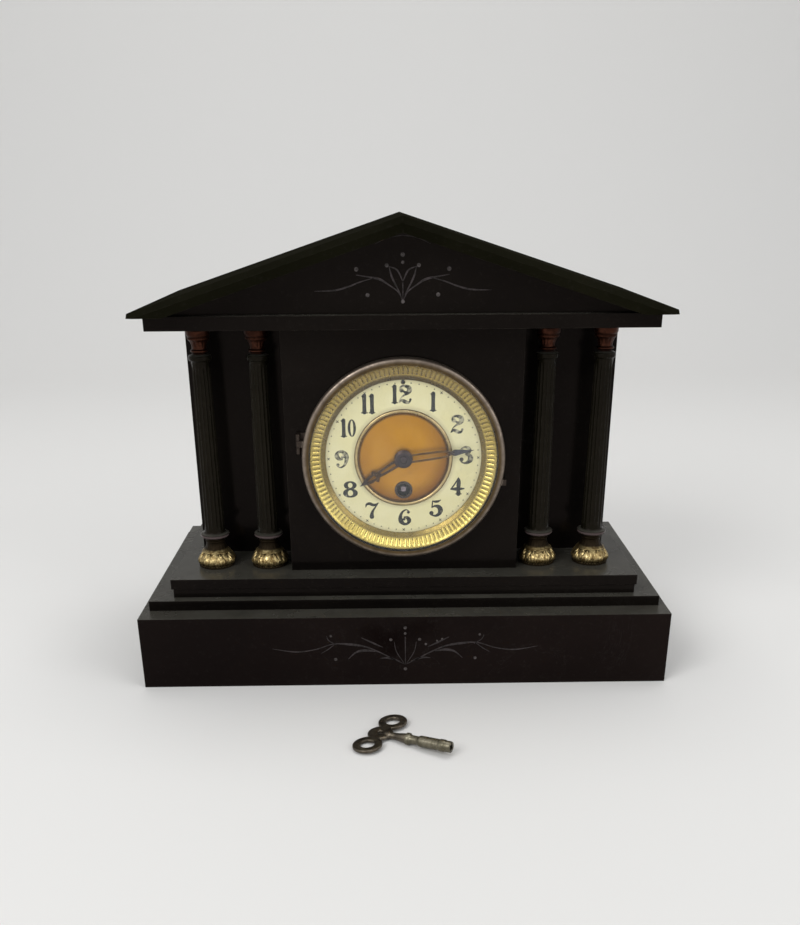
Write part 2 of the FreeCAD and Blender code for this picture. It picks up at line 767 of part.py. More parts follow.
def toothed_face(module, teeth, turn):
    """A gear's face. Each straight flank is a chord inside the involute, so teeth never overlap."""
    pitch = module * teeth / 2
    base = pitch * math.cos(PRESSURE_ANGLE)
    tip = pitch + ADDENDUM_SHARE * module
    root = pitch - DEDENDUM_SHARE * module
    flank = max(root, base)
    half_tooth = (1 - BACKLASH_SHARE) * math.pi / (2 * teeth) + involute(PRESSURE_ANGLE)
    half_flank = half_tooth - involute(math.acos(base / flank))
    half_tip = half_tooth - involute(math.acos(base / tip))
    corners = [(flank, -half_flank), (tip, -half_tip), (tip, half_tip), (flank, half_flank)]
    if root < base:
        corners = [(root, -half_flank)] + corners + [(root, half_flank)]
    points = []
    for tooth in range(teeth):
        middle = turn + 2 * math.pi * tooth / teeth
        for radius, lean in corners:
            angle = middle + lean
            points.append(Vector(radius * math.cos(angle), radius * math.sin(angle), 0))
    return Part.Face(Part.makePolygon(points + points[:1]))


def mesh_turn(driver_turn, module, driver_teeth, teeth, direction):
    """How far a gear is turned so that its gaps take the driver's teeth on the line of centres."""
    driver_radius = module * driver_teeth / 2
    radius = module * teeth / 2
    offset = driver_radius * (driver_turn - direction)
    return direction + math.pi - (offset + math.pi * module / 2) / radius


def direction_from(start, end):
    return math.atan2(end[1] - start[1], end[0] - start[0])


def gear(module, teeth, low, high, turn=0):
    face = toothed_face(float(module), teeth, turn)
    height = float(high) - float(low)
    return face.extrude(Vector(0, 0, height)).translated(Vector(0, 0, float(low)))


def cylinder(radius, low, high, x=0, y=0):
    height = float(high) - float(low)
    return Part.makeCylinder(float(radius), height, Vector(x, y, float(low)))


def crossings(radius, low, high):
    """The windows between a wheel's spokes, to be cut out of it."""
    inner = CROSSING_HUB_SHARE * float(radius)
    outer = CROSSING_RIM_SHARE * float(radius)
    spoke = CROSSING_SPOKE_SHARE * float(radius)
    ring = cylinder(outer, low, high).cut(cylinder(inner, low, high))
    height = float(high) - float(low)
    bars = []
    for index in range(CROSSING_COUNT // 2):
        bar = Part.makeBox(2 * outer, 2 * spoke, height, Vector(-outer, -spoke, float(low)))
        bar.rotate(Vector(0, 0, 0), UP_AXIS, index * 360 / CROSSING_COUNT)
        bars.append(bar)
    return ring.cut(Part.makeCompound(bars))


def pointed_wheel(teeth, radius, depth, lean_share, low, high):
    """A wheel of pointed teeth, for the ratchet and the escape wheel."""
    points = []
    for tooth in range(teeth):
        for distance, share in ((float(radius), 0), (float(radius) - float(depth), lean_share)):
            angle = 2 * math.pi * (tooth + share) / teeth
            points.append(Vector(distance * math.cos(angle), distance * math.sin(angle), 0))
    face = Part.Face(Part.makePolygon(points + points[:1]))
    height = float(high) - float(low)
    return face.extrude(Vector(0, 0, height)).translated(Vector(0, 0, float(low)))


def arbored(label, place, pieces, cuts=()):
    """A wheel on its arbor as one solid, turning about its own Z axis at its place."""
    shape = pieces[0].multiFuse(pieces[1:]) if len(pieces) > 1 else pieces[0]
    for tool in cuts:
        shape = shape.cut(tool)
    return keep(label, in_movement(solid(label, shape), 0, place[0], place[1]))


def make_plinth_and_steps():
    inside_front = plinth_front + plinth_wall
    inside_back = plinth_back - plinth_wall
    for label, near, far in (
        ("plinth_front", plinth_front, inside_front),
        ("plinth_back", inside_back, plinth_back),
    ):
        keep(label, block(label, (-plinth_half, near, 0), (plinth_half, far, plinth_height)))
    inside_half = plinth_half - plinth_wall
    for label, left, right in (
        ("plinth_side_left", -plinth_half, -inside_half),
        ("plinth_side_right", inside_half, plinth_half),
    ):
        low = (left, inside_front, 0)
        keep(label, block(label, low, (right, inside_back, plinth_height)))
    low = (-lower_step_half, lower_step_front, plinth_height)
    high = (lower_step_half, lower_step_back, lower_step_top)
    slab = block("lower_slab", low, high)
    low = (-pier_width / 2, inside_front, 0)
    pier = block("middle_pier", low, (pier_width / 2, inside_back, plinth_height))
    keep("step_lower", fused("step_lower", [slab, pier]))
    rebate_half = upper_step_half - rebate_depth
    low = (-rebate_half, upper_step_front + rebate_depth, lower_step_top)
    strip = block("step_strip", low, (rebate_half, upper_step_back, rebate_top))
    low = (-upper_step_half, upper_step_front, rebate_top)
    tread = block("step_tread", low, (upper_step_half, upper_step_back, deck))
    keep("step_upper", fused("step_upper", [strip, tread]))


def slab_outline(half, height):
    return [(-half, 0), (half, 0), (half, height), (-half, height)]


def make_upright_slabs():
    bore = [(seat_radius + slab_bore_clearance, 0, dial_height)]
    outline = slab_outline(block_half, body_height)
    slab = plate("dial_slab", outline, dial_slab_thickness, bore, "XZ_Plane")
    keep("dial_slab", placed(slab, (0, dial_slab_back, deck)))
    holes = [(back_ring_radius + back_bore_clearance, 0, dial_height)]
    screw_hole = tie_screw_radius + tie_clearance
    holes += [(screw_hole, x, dial_height + y) for x, y in TIES]
    outline = slab_outline(body_half, body_height)
    slab = plate("back_slab", outline, body_wall, holes, "XZ_Plane")
    keep("back_slab", placed(slab, (0, body_back, deck)))
    inside = block_half - body_wall
    case_inside = body_half - body_wall
    walls = (
        ("block_side_left", -block_half, -inside, dial_slab_back, body_back_inside),
        ("block_side_right", inside, block_half, dial_slab_back, body_back_inside),
        ("wing_slab_left", -body_half, -block_half, wing_front, wing_back),
        ("wing_slab_right", block_half, body_half, wing_front, wing_back),
        ("case_side_left", -body_half, -case_inside, wing_back, body_back_inside),
        ("case_side_right", case_inside, body_half, wing_back, body_back_inside),
    )
    for label, left, right, near, far in walls:
        keep(label, block(label, (left, near, deck), (right, far, body_top)))


def bevel_wedge(name, side):
    """A long wedge that takes the bevel off the sloping top arris at the front of a roof slab."""
    margin = roof_bevel + 2 * overrun
    outline = [
        (-overrun, -roof_bevel - overrun),
        (roof_bevel + overrun, overrun),
        (-overrun, overrun),
    ]
    wedge = plate(name, outline, roof_half + 4 * margin, plane="YZ_Plane")
    slope = math.atan2(float(roof_rise - roof_tip_height), float(roof_half))
    run_past = float(margin) / math.cos(slope)
    x = -float(roof_half) - run_past if side < 0 else -run_past
    z = float(roof_base) + float(roof_rise) - side * x * math.tan(slope)
    wedge.Placement = Placement(
        Vector(x, float(roof_front), z), Rotation(DEPTH_AXIS, side * math.degrees(slope))
    )
    return wedge


def make_entablature_and_roof():
    low = (-upper_step_half, upper_step_front, body_top)
    high = (upper_step_half, upper_step_back, roof_base)
    keep("entablature_slab", block("entablature_slab", low, high))
    gable = [(-roof_foot, 0), (roof_foot, 0), (0, roof_rise - roof_thickness)]
    tympanum_back = upper_step_front + tympanum_setback + tympanum_thickness
    for label, back in (("tympanum_slab", tympanum_back), ("pediment_back_slab", body_back)):
        slab = plate(label, gable, tympanum_thickness, plane="XZ_Plane")
        keep(label, placed(slab, (0, back, roof_base)))
    for label, side in (("roof_slab_left", -1), ("roof_slab_right", 1)):
        outline = [
            (0, roof_rise - roof_thickness),
            (side * roof_foot, 0),
            (side * roof_half, 0),
            (side * roof_half, roof_tip_height),
            (0, roof_rise),
        ]
        slab = plate(label + "_sawn", outline, roof_back - roof_front, plane="XZ_Plane")
        slab = placed(slab, (0, roof_back, roof_base))
        keep(label, cut(label, slab, [bevel_wedge(label + "_bevel", side)]))


def column_base_outline():
    radius = column_base_radius
    return [
        (0, 0),
        (radius, 0),
        (radius, column_foot_height),
        (column_bell_radius, column_bulge_height),
        (column_bell_radius, column_bell_foot),
        (column_waist_radius, column_base_height - column_foot_height),
        (column_waist_radius, column_base_height),
        (0, column_base_height),
    ]


def column_shaft_outline(height):
    ring_top = shaft_ring_height
    ring_side = shaft_ring_height / 2
    collar_foot = height - shaft_collar_height
    return [
        (0, 0),
        (column_waist_radius, 0),
        (shaft_ring_radius, ring_side),
        (shaft_ring_radius, ring_top - ring_side / 4),
        (shaft_foot_radius, ring_top + ring_side / 4),
        (shaft_head_radius, collar_foot - ring_side / 4),
        (shaft_collar_radius, collar_foot + ring_side / 4),
        (shaft_collar_radius, height - ring_side / 2),
        (capital_neck_radius, height),
        (0, height),
    ]


def capital_outline():
    band_top = capital_band_height + capital_band_thickness
    return [
        (0, 0),
        (capital_neck_radius, 0),
        (capital_neck_radius, capital_neck_height / 4),
        (capital_neck_radius, capital_neck_height * 3 / 4),
        (capital_neck_radius, capital_neck_height),
        (capital_band_radius, capital_band_height),
        (capital_band_radius, band_top),
        (capital_abacus_radius, band_top + capital_band_thickness / 2),
        (capital_abacus_radius, capital_height),
        (0, capital_height),
    ]


def make_columns():
    shaft_height = body_height - column_base_height - capital_height
    shaft = column_shaft_outline(shaft_height)
    kinds = (
        ("column_bases", column_base_outline(), BASE_BULGE_SHARES, 0),
        ("column_shafts", shaft, SHAFT_BULGE_SHARES, column_base_height),
        ("column_capitals", capital_outline(), CAPITAL_BULGE_SHARES, body_height - capital_height),
    )
    places = (-outer_column, -inner_column, inner_column, outer_column)
    for label, outline, bulges, rise in kinds:
        pieces = []
        for number, x in enumerate(places, 1):
            name = "%s_%d" % (label, number)
            pieces.append(placed(turned(name, outline, bulges), (x, 0, 0)))
        group = DOC.addObject("Part::Compound", label)
        group.Links = pieces
        keep(label, placed(group, (0, front + column_setback, deck + rise)))


def make_seat():
    lip_inner = seat_radius - seat_lip_width
    lip_back = front_plate_back - seat_lip_thickness
    outline = [
        (lip_inner, lip_back),
        (seat_radius, lip_back),
        (seat_radius, 0),
        (seat_flange_radius, 0),
        (seat_flange_radius, seat_flange_thickness),
        (seat_inner_radius, seat_flange_thickness),
        (seat_inner_radius, front_plate_back),
        (lip_inner, front_plate_back),
    ]
    ring = turned("seat_ring", outline)
    hinge_x = -hinge_offset
    outside = hinge_x - knuckle_radius
    pieces = [ring]
    low_end = hinge_rise - knuckle_length * 3 / 2 - knuckle_gap
    high_end = hinge_rise + knuckle_length * 3 / 2 + knuckle_gap
    lug_low = (outside, low_end, 0)
    lug_high = (-seat_radius - seat_wall, high_end, seat_flange_thickness)
    pieces.append(block("seat_lug", lug_low, lug_high))
    for number, low in enumerate((low_end, high_end - knuckle_length), 1):
        high = low + knuckle_length
        leg_low = (outside, low, 0)
        leg_high = (hinge_x + knuckle_radius * 3 / 4, high, hinge_level)
        pieces.append(block("seat_leg_%d" % number, leg_low, leg_high))
        name = "seat_knuckle_%d" % number
        pieces.append(upright_rod(name, knuckle_radius, low, high, hinge_x, hinge_level))
    bore_radius = hinge_pin_radius + pin_clearance
    bore = upright_rod(
        "seat_bore", bore_radius, low_end - overrun, high_end + overrun, hinge_x, hinge_level
    )
    seat = cut("bezel_seat", fused("seat_body", pieces), [bore])
    keep("bezel_seat", in_movement(seat))


def make_bezel():
    inner = bezel_radius - bezel_rim_width
    rebate = inner + glass_rebate
    foot = seat_flange_thickness + bezel_gap
    glass_front = bezel_height - glass_lip
    outline = [
        (rebate, foot),
        (bezel_radius, foot),
        (bezel_radius, bezel_height - bezel_shoulder),
        (bezel_radius - bezel_shoulder, bezel_height),
        (inner, bezel_height - glass_lip / 4),
        (inner, glass_front),
        (rebate, glass_front),
    ]
    ring = turned("bezel_turning", outline, BEZEL_BULGE_SHARES)
    hinge_x = -hinge_offset
    low = hinge_rise - knuckle_length / 2
    high = hinge_rise + knuckle_length / 2
    knuckle = upright_rod("bezel_knuckle", knuckle_radius, low, high, hinge_x, hinge_level)
    leaf_low = (hinge_x, low, hinge_level - hinge_pin_radius)
    leaf_high = (-rebate - glass_rebate / 2, high, hinge_level + knuckle_radius)
    leaf = block("bezel_leaf", leaf_low, leaf_high)
    catch_low = (bezel_radius - catch_reach, -catch_drop - catch_width / 2, foot + catch_thickness)
    catch_high = (
        bezel_radius + catch_reach / 2,
        -catch_drop + catch_width / 2,
        foot + 2 * catch_thickness,
    )
    catch = block("bezel_catch", catch_low, catch_high)
    bore = upright_rod(
        "bezel_bore", hinge_pin_radius + pin_clearance, low - overrun, high + overrun, hinge_x,
        hinge_level,
    )
    body = cut("bezel_ring", fused("bezel_body", [ring, knuckle, leaf, catch]), [bore])
    keep("bezel_ring", in_movement(body))
    glass = plate("bezel_glass", rebate, glass_thickness)
    keep("bezel_glass", in_movement(glass, glass_front - glass_thickness))


def make_hinge_pins():
    half = knuckle_length * 3 / 2 + knuckle_gap
    front_pin = upright_rod(
        "front_pin", hinge_pin_radius, hinge_rise - half, hinge_rise + half, -hinge_offset, hinge_level
    )
    back_pin = upright_rod(
        "back_pin", hinge_pin_radius, -half, half, back_hinge_offset, back_hinge_level
    )
    group = DOC.addObject("Part::Compound", "hinge_pins")
    group.Links = [front_pin, back_pin]
    keep("hinge_pins", in_movement(group))


def make_dial():
    plate_radius = seat_inner_radius - dial_plate_clearance
    holes = [
        (centre_hole_radius, 0, 0),
        (winding_hole_radius, 0, -winding_drop),
        (regulator_hole_radius, 0, regulator_rise),
    ]
    disc = plate("dial_disc", plate_radius, dial_plate_thickness, holes)
    pieces = [placed(disc, (0, 0, dial_back))]
    for number, (x, y) in enumerate(DIAL_FEET, 1):
        name = "dial_foot_%d" % number
        pieces.append(rod(name, dial_foot_radius, front_plate_face, dial_back, x, y))
    keep("dial_plate", in_movement(fused("dial_plate", pieces)))

    flange = seat_flange_thickness
    sight_foot = sight_height + flange - sight_depth
    outline = [
        (sight_inner_radius, dial_face),
        (sight_inner_radius + sight_wall, dial_face),
        (sight_inner_radius + sight_wall, sight_foot - sight_wall),
        (seat_inner_radius, flange),
        (sight_outer_radius, flange),
        (sight_outer_radius, sight_height + flange),
        (sight_outer_radius - sight_wall, sight_height + flange),
        (sight_inner_radius, sight_foot),
    ]
    keep("sight_ring", in_movement(turned("sight_ring", outline)))

    chapter = plate("chapter_disc", enamel_radius, enamel_thickness, [
        (centre_disc_radius, 0, 0),
        (regulator_hole_radius, 0, regulator_rise),
    ])
    keep("chapter_ring", in_movement(chapter, enamel_back))

    edge = centre_disc_radius - centre_disc_fit
    disc_face = enamel_back + enamel_thickness / 2
    outline = [
        (centre_hole_radius, enamel_back),
        (edge, enamel_back),
        (edge, dial_face),
        (edge - centre_ring_width, dial_face),
        (edge - centre_ring_width, disc_face),
        (centre_hole_radius, disc_face),
    ]
    disc = turned("centre_turning", outline, CENTRE_RING_BULGE_SHARES)
    eyelet = rod(
        "eyelet", winding_hole_radius + eyelet_width, enamel_back, disc_face + eyelet_height,
        0, -winding_drop,
    )
    hole = rod(
        "winding_hole", winding_hole_radius, enamel_back - overrun, dial_face + 2 * overrun,
        0, -winding_drop,
    )
    keep("centre_disc", in_movement(cut("centre_disc", fused("centre_body", [disc, eyelet]), [hole])))


def make_plates():
    run = running_clearance
    front_holes = [
        (centre_arbor_radius + run, 0, 0),
        (winding_arbor_radius + run, 0, -winding_drop),
        (intermediate_pivot_radius + run, INTERMEDIATE[0], INTERMEDIATE[1]),
        (third_pivot_radius + run, THIRD[0], THIRD[1]),
        (escape_pivot_radius + run, 0, ESCAPE[1]),
        (anchor_pivot_radius + run, 0, ANCHOR[1]),
        (regulator_arbor_radius + run, 0, regulator_rise),
    ]
    disc = plate("front_plate_disc", front_plate_radius, plate_thickness, front_holes)
    disc = placed(disc, (0, 0, front_plate_back))
    stud_top = front_plate_face + cannon_level + minute_wheel_thickness + minute_pinion_height
    pieces = [
        disc,
        rod("minute_stud", stud_radius, front_plate_face, stud_top, MINUTE[0], MINUTE[1]),
        rod(
            "click_stud", stud_radius, front_plate_face,
            front_plate_face + ratchet_gap + ratchet_thickness, CLICK[0], CLICK[1],
        ),
    ]
    keep("front_plate", in_movement(fused("front_plate", pieces)))
    back_holes = [
        (centre_pivot_radius + run, 0, 0),
        (winding_pivot_radius + run, 0, -winding_drop),
        (intermediate_pivot_radius + run, INTERMEDIATE[0], INTERMEDIATE[1]),
        (third_pivot_radius + run, THIRD[0], THIRD[1]),
        (escape_pivot_radius + run, 0, ESCAPE[1]),
        (anchor_arbor_radius + run, 0, ANCHOR[1]),
    ]
    disc = plate("back_plate", back_plate_radius, plate_thickness, back_holes)
    keep("back_plate", in_movement(disc, back_plate_back))
    pillars = []
    for number, (x, y) in enumerate(PILLARS, 1):
        name = "pillar_%d" % number
        pillars.append(rod(name, pillar_radius, back_plate_face, front_plate_back, x, y))
    group = DOC.addObject("Part::Compound", "plate_pillars")
    group.Links = pillars
    keep("plate_pillars", in_movement(group))


def behind_front(level):
    """A level between the plates, given as its distance behind the front plate."""
    return front_plate_back - level


def make_barrel():
    teeth_top = behind_front(barrel_level)
    teeth_low = teeth_top - barrel_flange
    drum_back = teeth_top - barrel_depth
    cap_face = drum_back + barrel_wall
    front_bore = winding_arbor_radius + running_clearance
    back_bore = winding_pivot_radius + running_clearance
    drum = cylinder(barrel_drum_radius, drum_back, teeth_top)
    shape = drum.fuse(gear(barrel_module, BARREL_TEETH, teeth_low, teeth_top))
    cavity = cylinder(barrel_drum_radius - barrel_wall, cap_face, teeth_low)
    shape = shape.cut(cavity)
    shape = shape.cut(cylinder(front_bore, teeth_low, teeth_top))
    shape = shape.cut(cylinder(back_bore, drum_back, cap_face))
    piece = solid("mainspring_barrel", shape)
    keep("mainspring_barrel", in_movement(piece, 0, BARREL[0], -winding_drop))

    inner = float(barrel_core_radius) + float(spring_gap)
    outer = float(barrel_drum_radius) - float(barrel_wall) - float(spring_gap)
    strip = float(spring_thickness)
    steps = SPRING_TURNS * SPRING_STEPS
    inside = []
    outside = []
    for step in range(steps + 1):
        angle = 2 * math.pi * step / SPRING_STEPS
        radius = inner + (outer - strip - inner) * step / steps
        toward = Vector(math.cos(angle), math.sin(angle), 0)
        inside.append(toward * radius)
        outside.append(toward * (radius + strip))
    loop = outside + inside[::-1]
    strip_low = float(cap_face) + float(spring_gap)
    strip_high = float(teeth_low) - float(spring_gap)
    face = Part.Face(Part.makePolygon(loop + loop[:1]))
    spiral = face.extrude(Vector(0, 0, strip_high - strip_low))
    raised = Part.makeCompound([spiral.translated(Vector(0, 0, strip_low))])
    piece = solid("mainspring", raised)
    keep("mainspring", in_movement(piece, 0, BARREL[0], -winding_drop))

    core_low = cap_face + spring_gap
    core_high = teeth_low - spring_gap
    square_end = -winding_square_end
    half = winding_square / 2
    pieces = [
        rod("winding_pivot", winding_pivot_radius, back_plate_back, core_low),
        rod("winding_core", barrel_core_radius, core_low, core_high),
        rod("winding_body", winding_arbor_radius, core_high, front_plate_face),
        block("winding_end", (-half, -half, front_plate_face), (half, half, square_end)),
    ]
    arbor = fused("winding_arbor", pieces)
    keep("winding_arbor", in_movement(arbor, 0, BARREL[0], -winding_drop))


def make_ratchet():
    low = front_plate_face + ratchet_gap
    high = low + ratchet_thickness
    wheel = pointed_wheel(
        RATCHET_TEETH, ratchet_radius, ratchet_tooth_depth, RATCHET_LEAN_SHARE, low, high
    )
    side = float(winding_square) + 2 * float(square_clearance)
    corner = Vector(-side / 2, -side / 2, float(low))
    hole = Part.makeBox(side, side, float(high) - float(low), corner)
    piece = solid("ratchet_wheel", wheel.cut(hole))
    keep("ratchet_wheel", in_movement(piece, 0, BARREL[0], -winding_drop))

    reach = float(ratchet_radius) + float(click_clearance)
    tip_angle = math.radians(CLICK_TIP_DIRECTION)
    tip = Vector(reach * math.cos(tip_angle), reach * math.sin(tip_angle), float(low))
    pivot = Vector(float(CLICK_CENTRE[0]), float(CLICK_CENTRE[1]), float(low))
    along = (tip - pivot).normalize()
    aside = Vector(-along.y, along.x, 0) * float(click_boss_radius) * CLICK_BEAK_SHARE
    corners = [pivot + aside, tip, pivot - aside, pivot + aside]
    height = Vector(0, 0, float(high) - float(low))
    beak = Part.Face(Part.makePolygon(corners)).extrude(height)
    boss = cylinder(click_boss_radius, low, high, pivot.x, pivot.y)
    bore = cylinder(stud_radius + running_clearance, low, high, pivot.x, pivot.y)
    piece = solid("click", beak.fuse(boss).cut(bore))
    keep("click", in_movement(piece, 0, BARREL[0], -winding_drop))


def arbor_pieces(body_radius, pivot_radius):
    """An arbor between the plates with a pivot at each end."""
    low = back_plate_face + arbor_shake
    high = front_plate_back - arbor_shake
    return [
        cylinder(body_radius, low, high),
        cylinder(pivot_radius, back_plate_back, low),
        cylinder(pivot_radius, high, front_plate_face),
    ]


def wheel_level(level):
    top = behind_front(level)
    return top - wheel_thickness, top


def pinion_level(level, thickness):
    """A pinion stands a little past both faces of the wheel that drives it."""
    top = behind_front(level) + pinion_overhang
    return top - thickness - 2 * pinion_overhang, top


def make_train():
    low, high = wheel_level(intermediate_level)
    turn = mesh_turn(
        0, float(barrel_module), BARREL_TEETH, INTERMEDIATE_LEAVES,
        direction_from(BARREL, INTERMEDIATE),
    )
    pinion_low, pinion_high = pinion_level(barrel_level, barrel_flange)
    pieces = [gear(intermediate_module, INTERMEDIATE_TEETH, low, high)]
    pieces += arbor_pieces(intermediate_arbor_radius, intermediate_pivot_radius)
    leaves = gear(barrel_module, INTERMEDIATE_LEAVES, pinion_low, pinion_high, turn)
    windows = crossings(intermediate_module * INTERMEDIATE_TEETH / 2, low, high)
    pieces[0] = pieces[0].cut(windows)
    arbored("intermediate_wheel", INTERMEDIATE, pieces + [leaves])

    low, high = wheel_level(centre_level)
    turn = mesh_turn(
        0, float(intermediate_module), INTERMEDIATE_TEETH, CENTRE_LEAVES,
        direction_from(INTERMEDIATE, CENTRE),
    )
    pinion_low, pinion_high = pinion_level(intermediate_level, wheel_thickness)
    wheel = gear(centre_module, CENTRE_TEETH, low, high)
    wheel = wheel.cut(crossings(centre_module * CENTRE_TEETH / 2, low, high))
    shaft_low = back_plate_face + arbor_shake
    pieces = [
        wheel,
        gear(intermediate_module, CENTRE_LEAVES, pinion_low, pinion_high, turn),
        cylinder(centre_pivot_radius, back_plate_back, shaft_low),
        cylinder(centre_arbor_radius, shaft_low, centre_arbor_end),
    ]
    arbored("centre_wheel", CENTRE, pieces)

    low, high = wheel_level(third_level)
    turn = mesh_turn(
        0, float(centre_module), CENTRE_TEETH, THIRD_LEAVES, direction_from(CENTRE, THIRD)
    )
    pinion_low, pinion_high = pinion_level(centre_level, wheel_thickness)
    wheel = gear(third_module, THIRD_TEETH, low, high)
    wheel = wheel.cut(crossings(third_module * THIRD_TEETH / 2, low, high))
    leaves = gear(centre_module, THIRD_LEAVES, pinion_low, pinion_high, turn)
    arbor = arbor_pieces(third_arbor_radius, third_pivot_radius)
    arbored("third_wheel", THIRD, [wheel, leaves] + arbor)

    low, high = wheel_level(escape_level)
    turn = mesh_turn(
        0, float(third_module), THIRD_TEETH, ESCAPE_LEAVES, direction_from(THIRD, ESCAPE)
    )
    pinion_low, pinion_high = pinion_level(third_level, wheel_thickness)
    wheel = pointed_wheel(
        ESCAPE_TEETH, escape_radius, escape_tooth_depth, ESCAPE_LEAN_SHARE, low, high
    )
    wheel = wheel.cut(crossings(escape_radius - escape_tooth_depth, low, high))
    leaves = gear(third_module, ESCAPE_LEAVES, pinion_low, pinion_high, turn)
    arbor = arbor_pieces(escape_arbor_radius, escape_pivot_radius)
    arbored("escape_wheel", ESCAPE, [wheel, leaves] + arbor)


def make_motion_work():
    low = front_plate_face + cannon_level
    high = low + cannon_pinion_height
    bore = centre_arbor_radius + hand_fit
    pieces = [
        gear(cannon_module, CANNON_LEAVES, low, high),
        cylinder(cannon_pipe_radius, low, cannon_pipe_end),
    ]
    arbored("cannon_pinion", CENTRE, pieces, [cylinder(bore, low, cannon_pipe_end)])

    direction = math.radians(MINUTE_STUD_DIRECTION)
    turn = mesh_turn(0, float(cannon_module), CANNON_LEAVES, MINUTE_TEETH, direction)
    wheel_low = low
    wheel_high = wheel_low + minute_wheel_thickness
    pinion_high = wheel_high + minute_pinion_height
    hub_low = front_plate_face + ratchet_gap
    hub_radius = stud_radius + pillar_radius / 4
    stud_bore = stud_radius + running_clearance
    wheel = gear(cannon_module, MINUTE_TEETH, wheel_low, wheel_high, turn)
    pieces = [
        wheel,
        gear(hour_module, MINUTE_LEAVES, wheel_high, pinion_high),
        cylinder(hub_radius, hub_low, wheel_low),
    ]
    arbored("minute_wheel", MINUTE, pieces, [cylinder(stud_bore, hub_low, pinion_high)])

    direction = direction_from(MINUTE, CENTRE)
    turn = mesh_turn(0, float(hour_module), MINUTE_LEAVES, HOUR_TEETH, direction)
    low = front_plate_face + hour_level
    high = low + wheel_thickness
    pieces = [
        gear(hour_module, HOUR_TEETH, low, high, turn),
        cylinder(hour_pipe_radius, low, hour_pipe_end),
    ]
    arbored("hour_wheel", CENTRE, pieces, [cylinder(hour_bore_radius, low, hour_pipe_end)])


def hand_blade_outline(length, boss):
    """Half of a hand's blade: a pierced stem, a crosspiece and a pointed tip, as pairs."""
    half = hand_width / 2
    cross = length * HAND_CROSS_SHARE
    arm = hand_width * HAND_ARM_SHARE
    return [
        (-half, boss / 2),
        (-half * 3 / 4, cross - half),
        (-arm, cross),
        (-half * 3 / 4, cross + half),
        (-half / 2, cross + half * 2),
        (0, length),
        (half / 2, cross + half * 2),
        (half * 3 / 4, cross + half),
        (arm, cross),
        (half * 3 / 4, cross - half),
        (half, boss / 2),
    ]


def make_hand(label, length, boss_radius, level, bore_radius, direction):
    blade = plate(label + "_blade", hand_blade_outline(length, boss_radius), hand_thickness)
    blade = placed(blade, (0, 0, level))
    boss = rod(label + "_boss", boss_radius, level, level + hand_boss_height)
    stem_half = hand_width / 2 - hand_rail
    slot_top = length * HAND_CROSS_SHARE - hand_width
    low = (-stem_half, boss_radius + hand_rail, level - overrun)
    slot = block(label + "_slot", low, (stem_half, slot_top, level + hand_thickness + overrun))
    bore = rod(label + "_bore", bore_radius, level - overrun, level + hand_boss_height + overrun)
    hand = cut(label, fused(label + "_body", [blade, boss]), [slot, bore])
    keep(label, in_movement(hand))
    turn = Rotation(UP_AXIS, -direction)
    hand.Placement = Placement(hand.Placement.Base, FACING_FRONT.multiply(turn))


def make_hands():
    make_hand(
        "hour_hand", hour_hand_length, hour_boss_radius, hour_hand_level,
        hour_pipe_radius + hand_fit, HOUR_HAND_DIRECTION,
    )
    make_hand(
        "minute_hand", minute_hand_length, minute_boss_radius, minute_hand_level,
        cannon_pipe_radius + hand_fit, MINUTE_HAND_DIRECTION,
    )
    bore = centre_arbor_radius + hand_fit
    outline = [
        (bore, cannon_pipe_end),
        (hand_nut_radius, cannon_pipe_end),
        (hand_nut_radius, cannon_pipe_end + hand_nut_height / 3),
        (bore, cannon_pipe_end + hand_nut_height),
    ]
    keep("hand_nut", in_movement(turned("hand_nut", outline, NUT_BULGE_SHARES)))


def make_anchor():
    reach = float(escape_radius) + float(anchor_lift)
    low = float(behind_front(escape_level)) - float(wheel_thickness)
    low = low - (float(anchor_thickness) - float(wheel_thickness)) / 2
    high = low + float(anchor_thickness)
    width = float(anchor_arm_width)
    boss = float(anchor_boss_radius)
    drop = float(ESCAPE[1] - ANCHOR[1])
    points = []
    for side in (1, -1):
        tip_x = side * reach * math.sin(ANCHOR_HALF_SPAN)
        tip_y = drop + reach * math.cos(ANCHOR_HALF_SPAN)
        shoulder_x = tip_x + side * width / 2
        shoulder_y = tip_y + width * 3 / 2
        arm = [
            (side * boss, boss / 2),
            (shoulder_x, shoulder_y),
            (tip_x + side * width / 2, tip_y + width / 4),
            (tip_x, tip_y),
            (tip_x - side * width / 4, tip_y + width),
            (side * boss / 4, -boss / 2),
        ]
        points += arm if side == 1 else arm[::-1]
    corners = [Vector(px, py, low) for px, py in points]
    face = Part.Face(Part.makePolygon(corners + corners[:1]))
    body = face.extrude(Vector(0, 0, high - low))
    shaft_low = back_plate_back - crutch_gap - crutch_thickness
    shaft_high = front_plate_back - arbor_shake
    crutch_face = back_plate_back - crutch_gap
    crutch = Part.makeBox(
        float(crutch_width), float(crutch_length) + float(crutch_width),
        float(crutch_thickness),
        Vector(-float(crutch_width) / 2, -float(crutch_length), float(shaft_low)),
    )
    fork_back = float(pendulum_plane) - float(pendulum_rod_radius) * 3
    fork = Part.makeBox(
        float(fork_width), float(fork_height), float(crutch_face) - fork_back,
        Vector(-float(fork_width) / 2, -float(crutch_length), fork_back),
    )
    slot_half = float(pendulum_rod_radius) + float(fork_clearance)
    slot_front = float(pendulum_plane) + float(pendulum_rod_radius) * 2
    slot = Part.makeBox(
        2 * slot_half, float(fork_height), slot_front - fork_back,
        Vector(-slot_half, -float(crutch_length), fork_back),
    )
    pieces = [
        body,
        cylinder(anchor_boss_radius, low, high),
        cylinder(anchor_arbor_radius, shaft_low, shaft_high),
        cylinder(anchor_pivot_radius, shaft_high, front_plate_face),
        crutch,
        fork.cut(slot),
    ]
    arbored("pallet_anchor", ANCHOR, pieces)


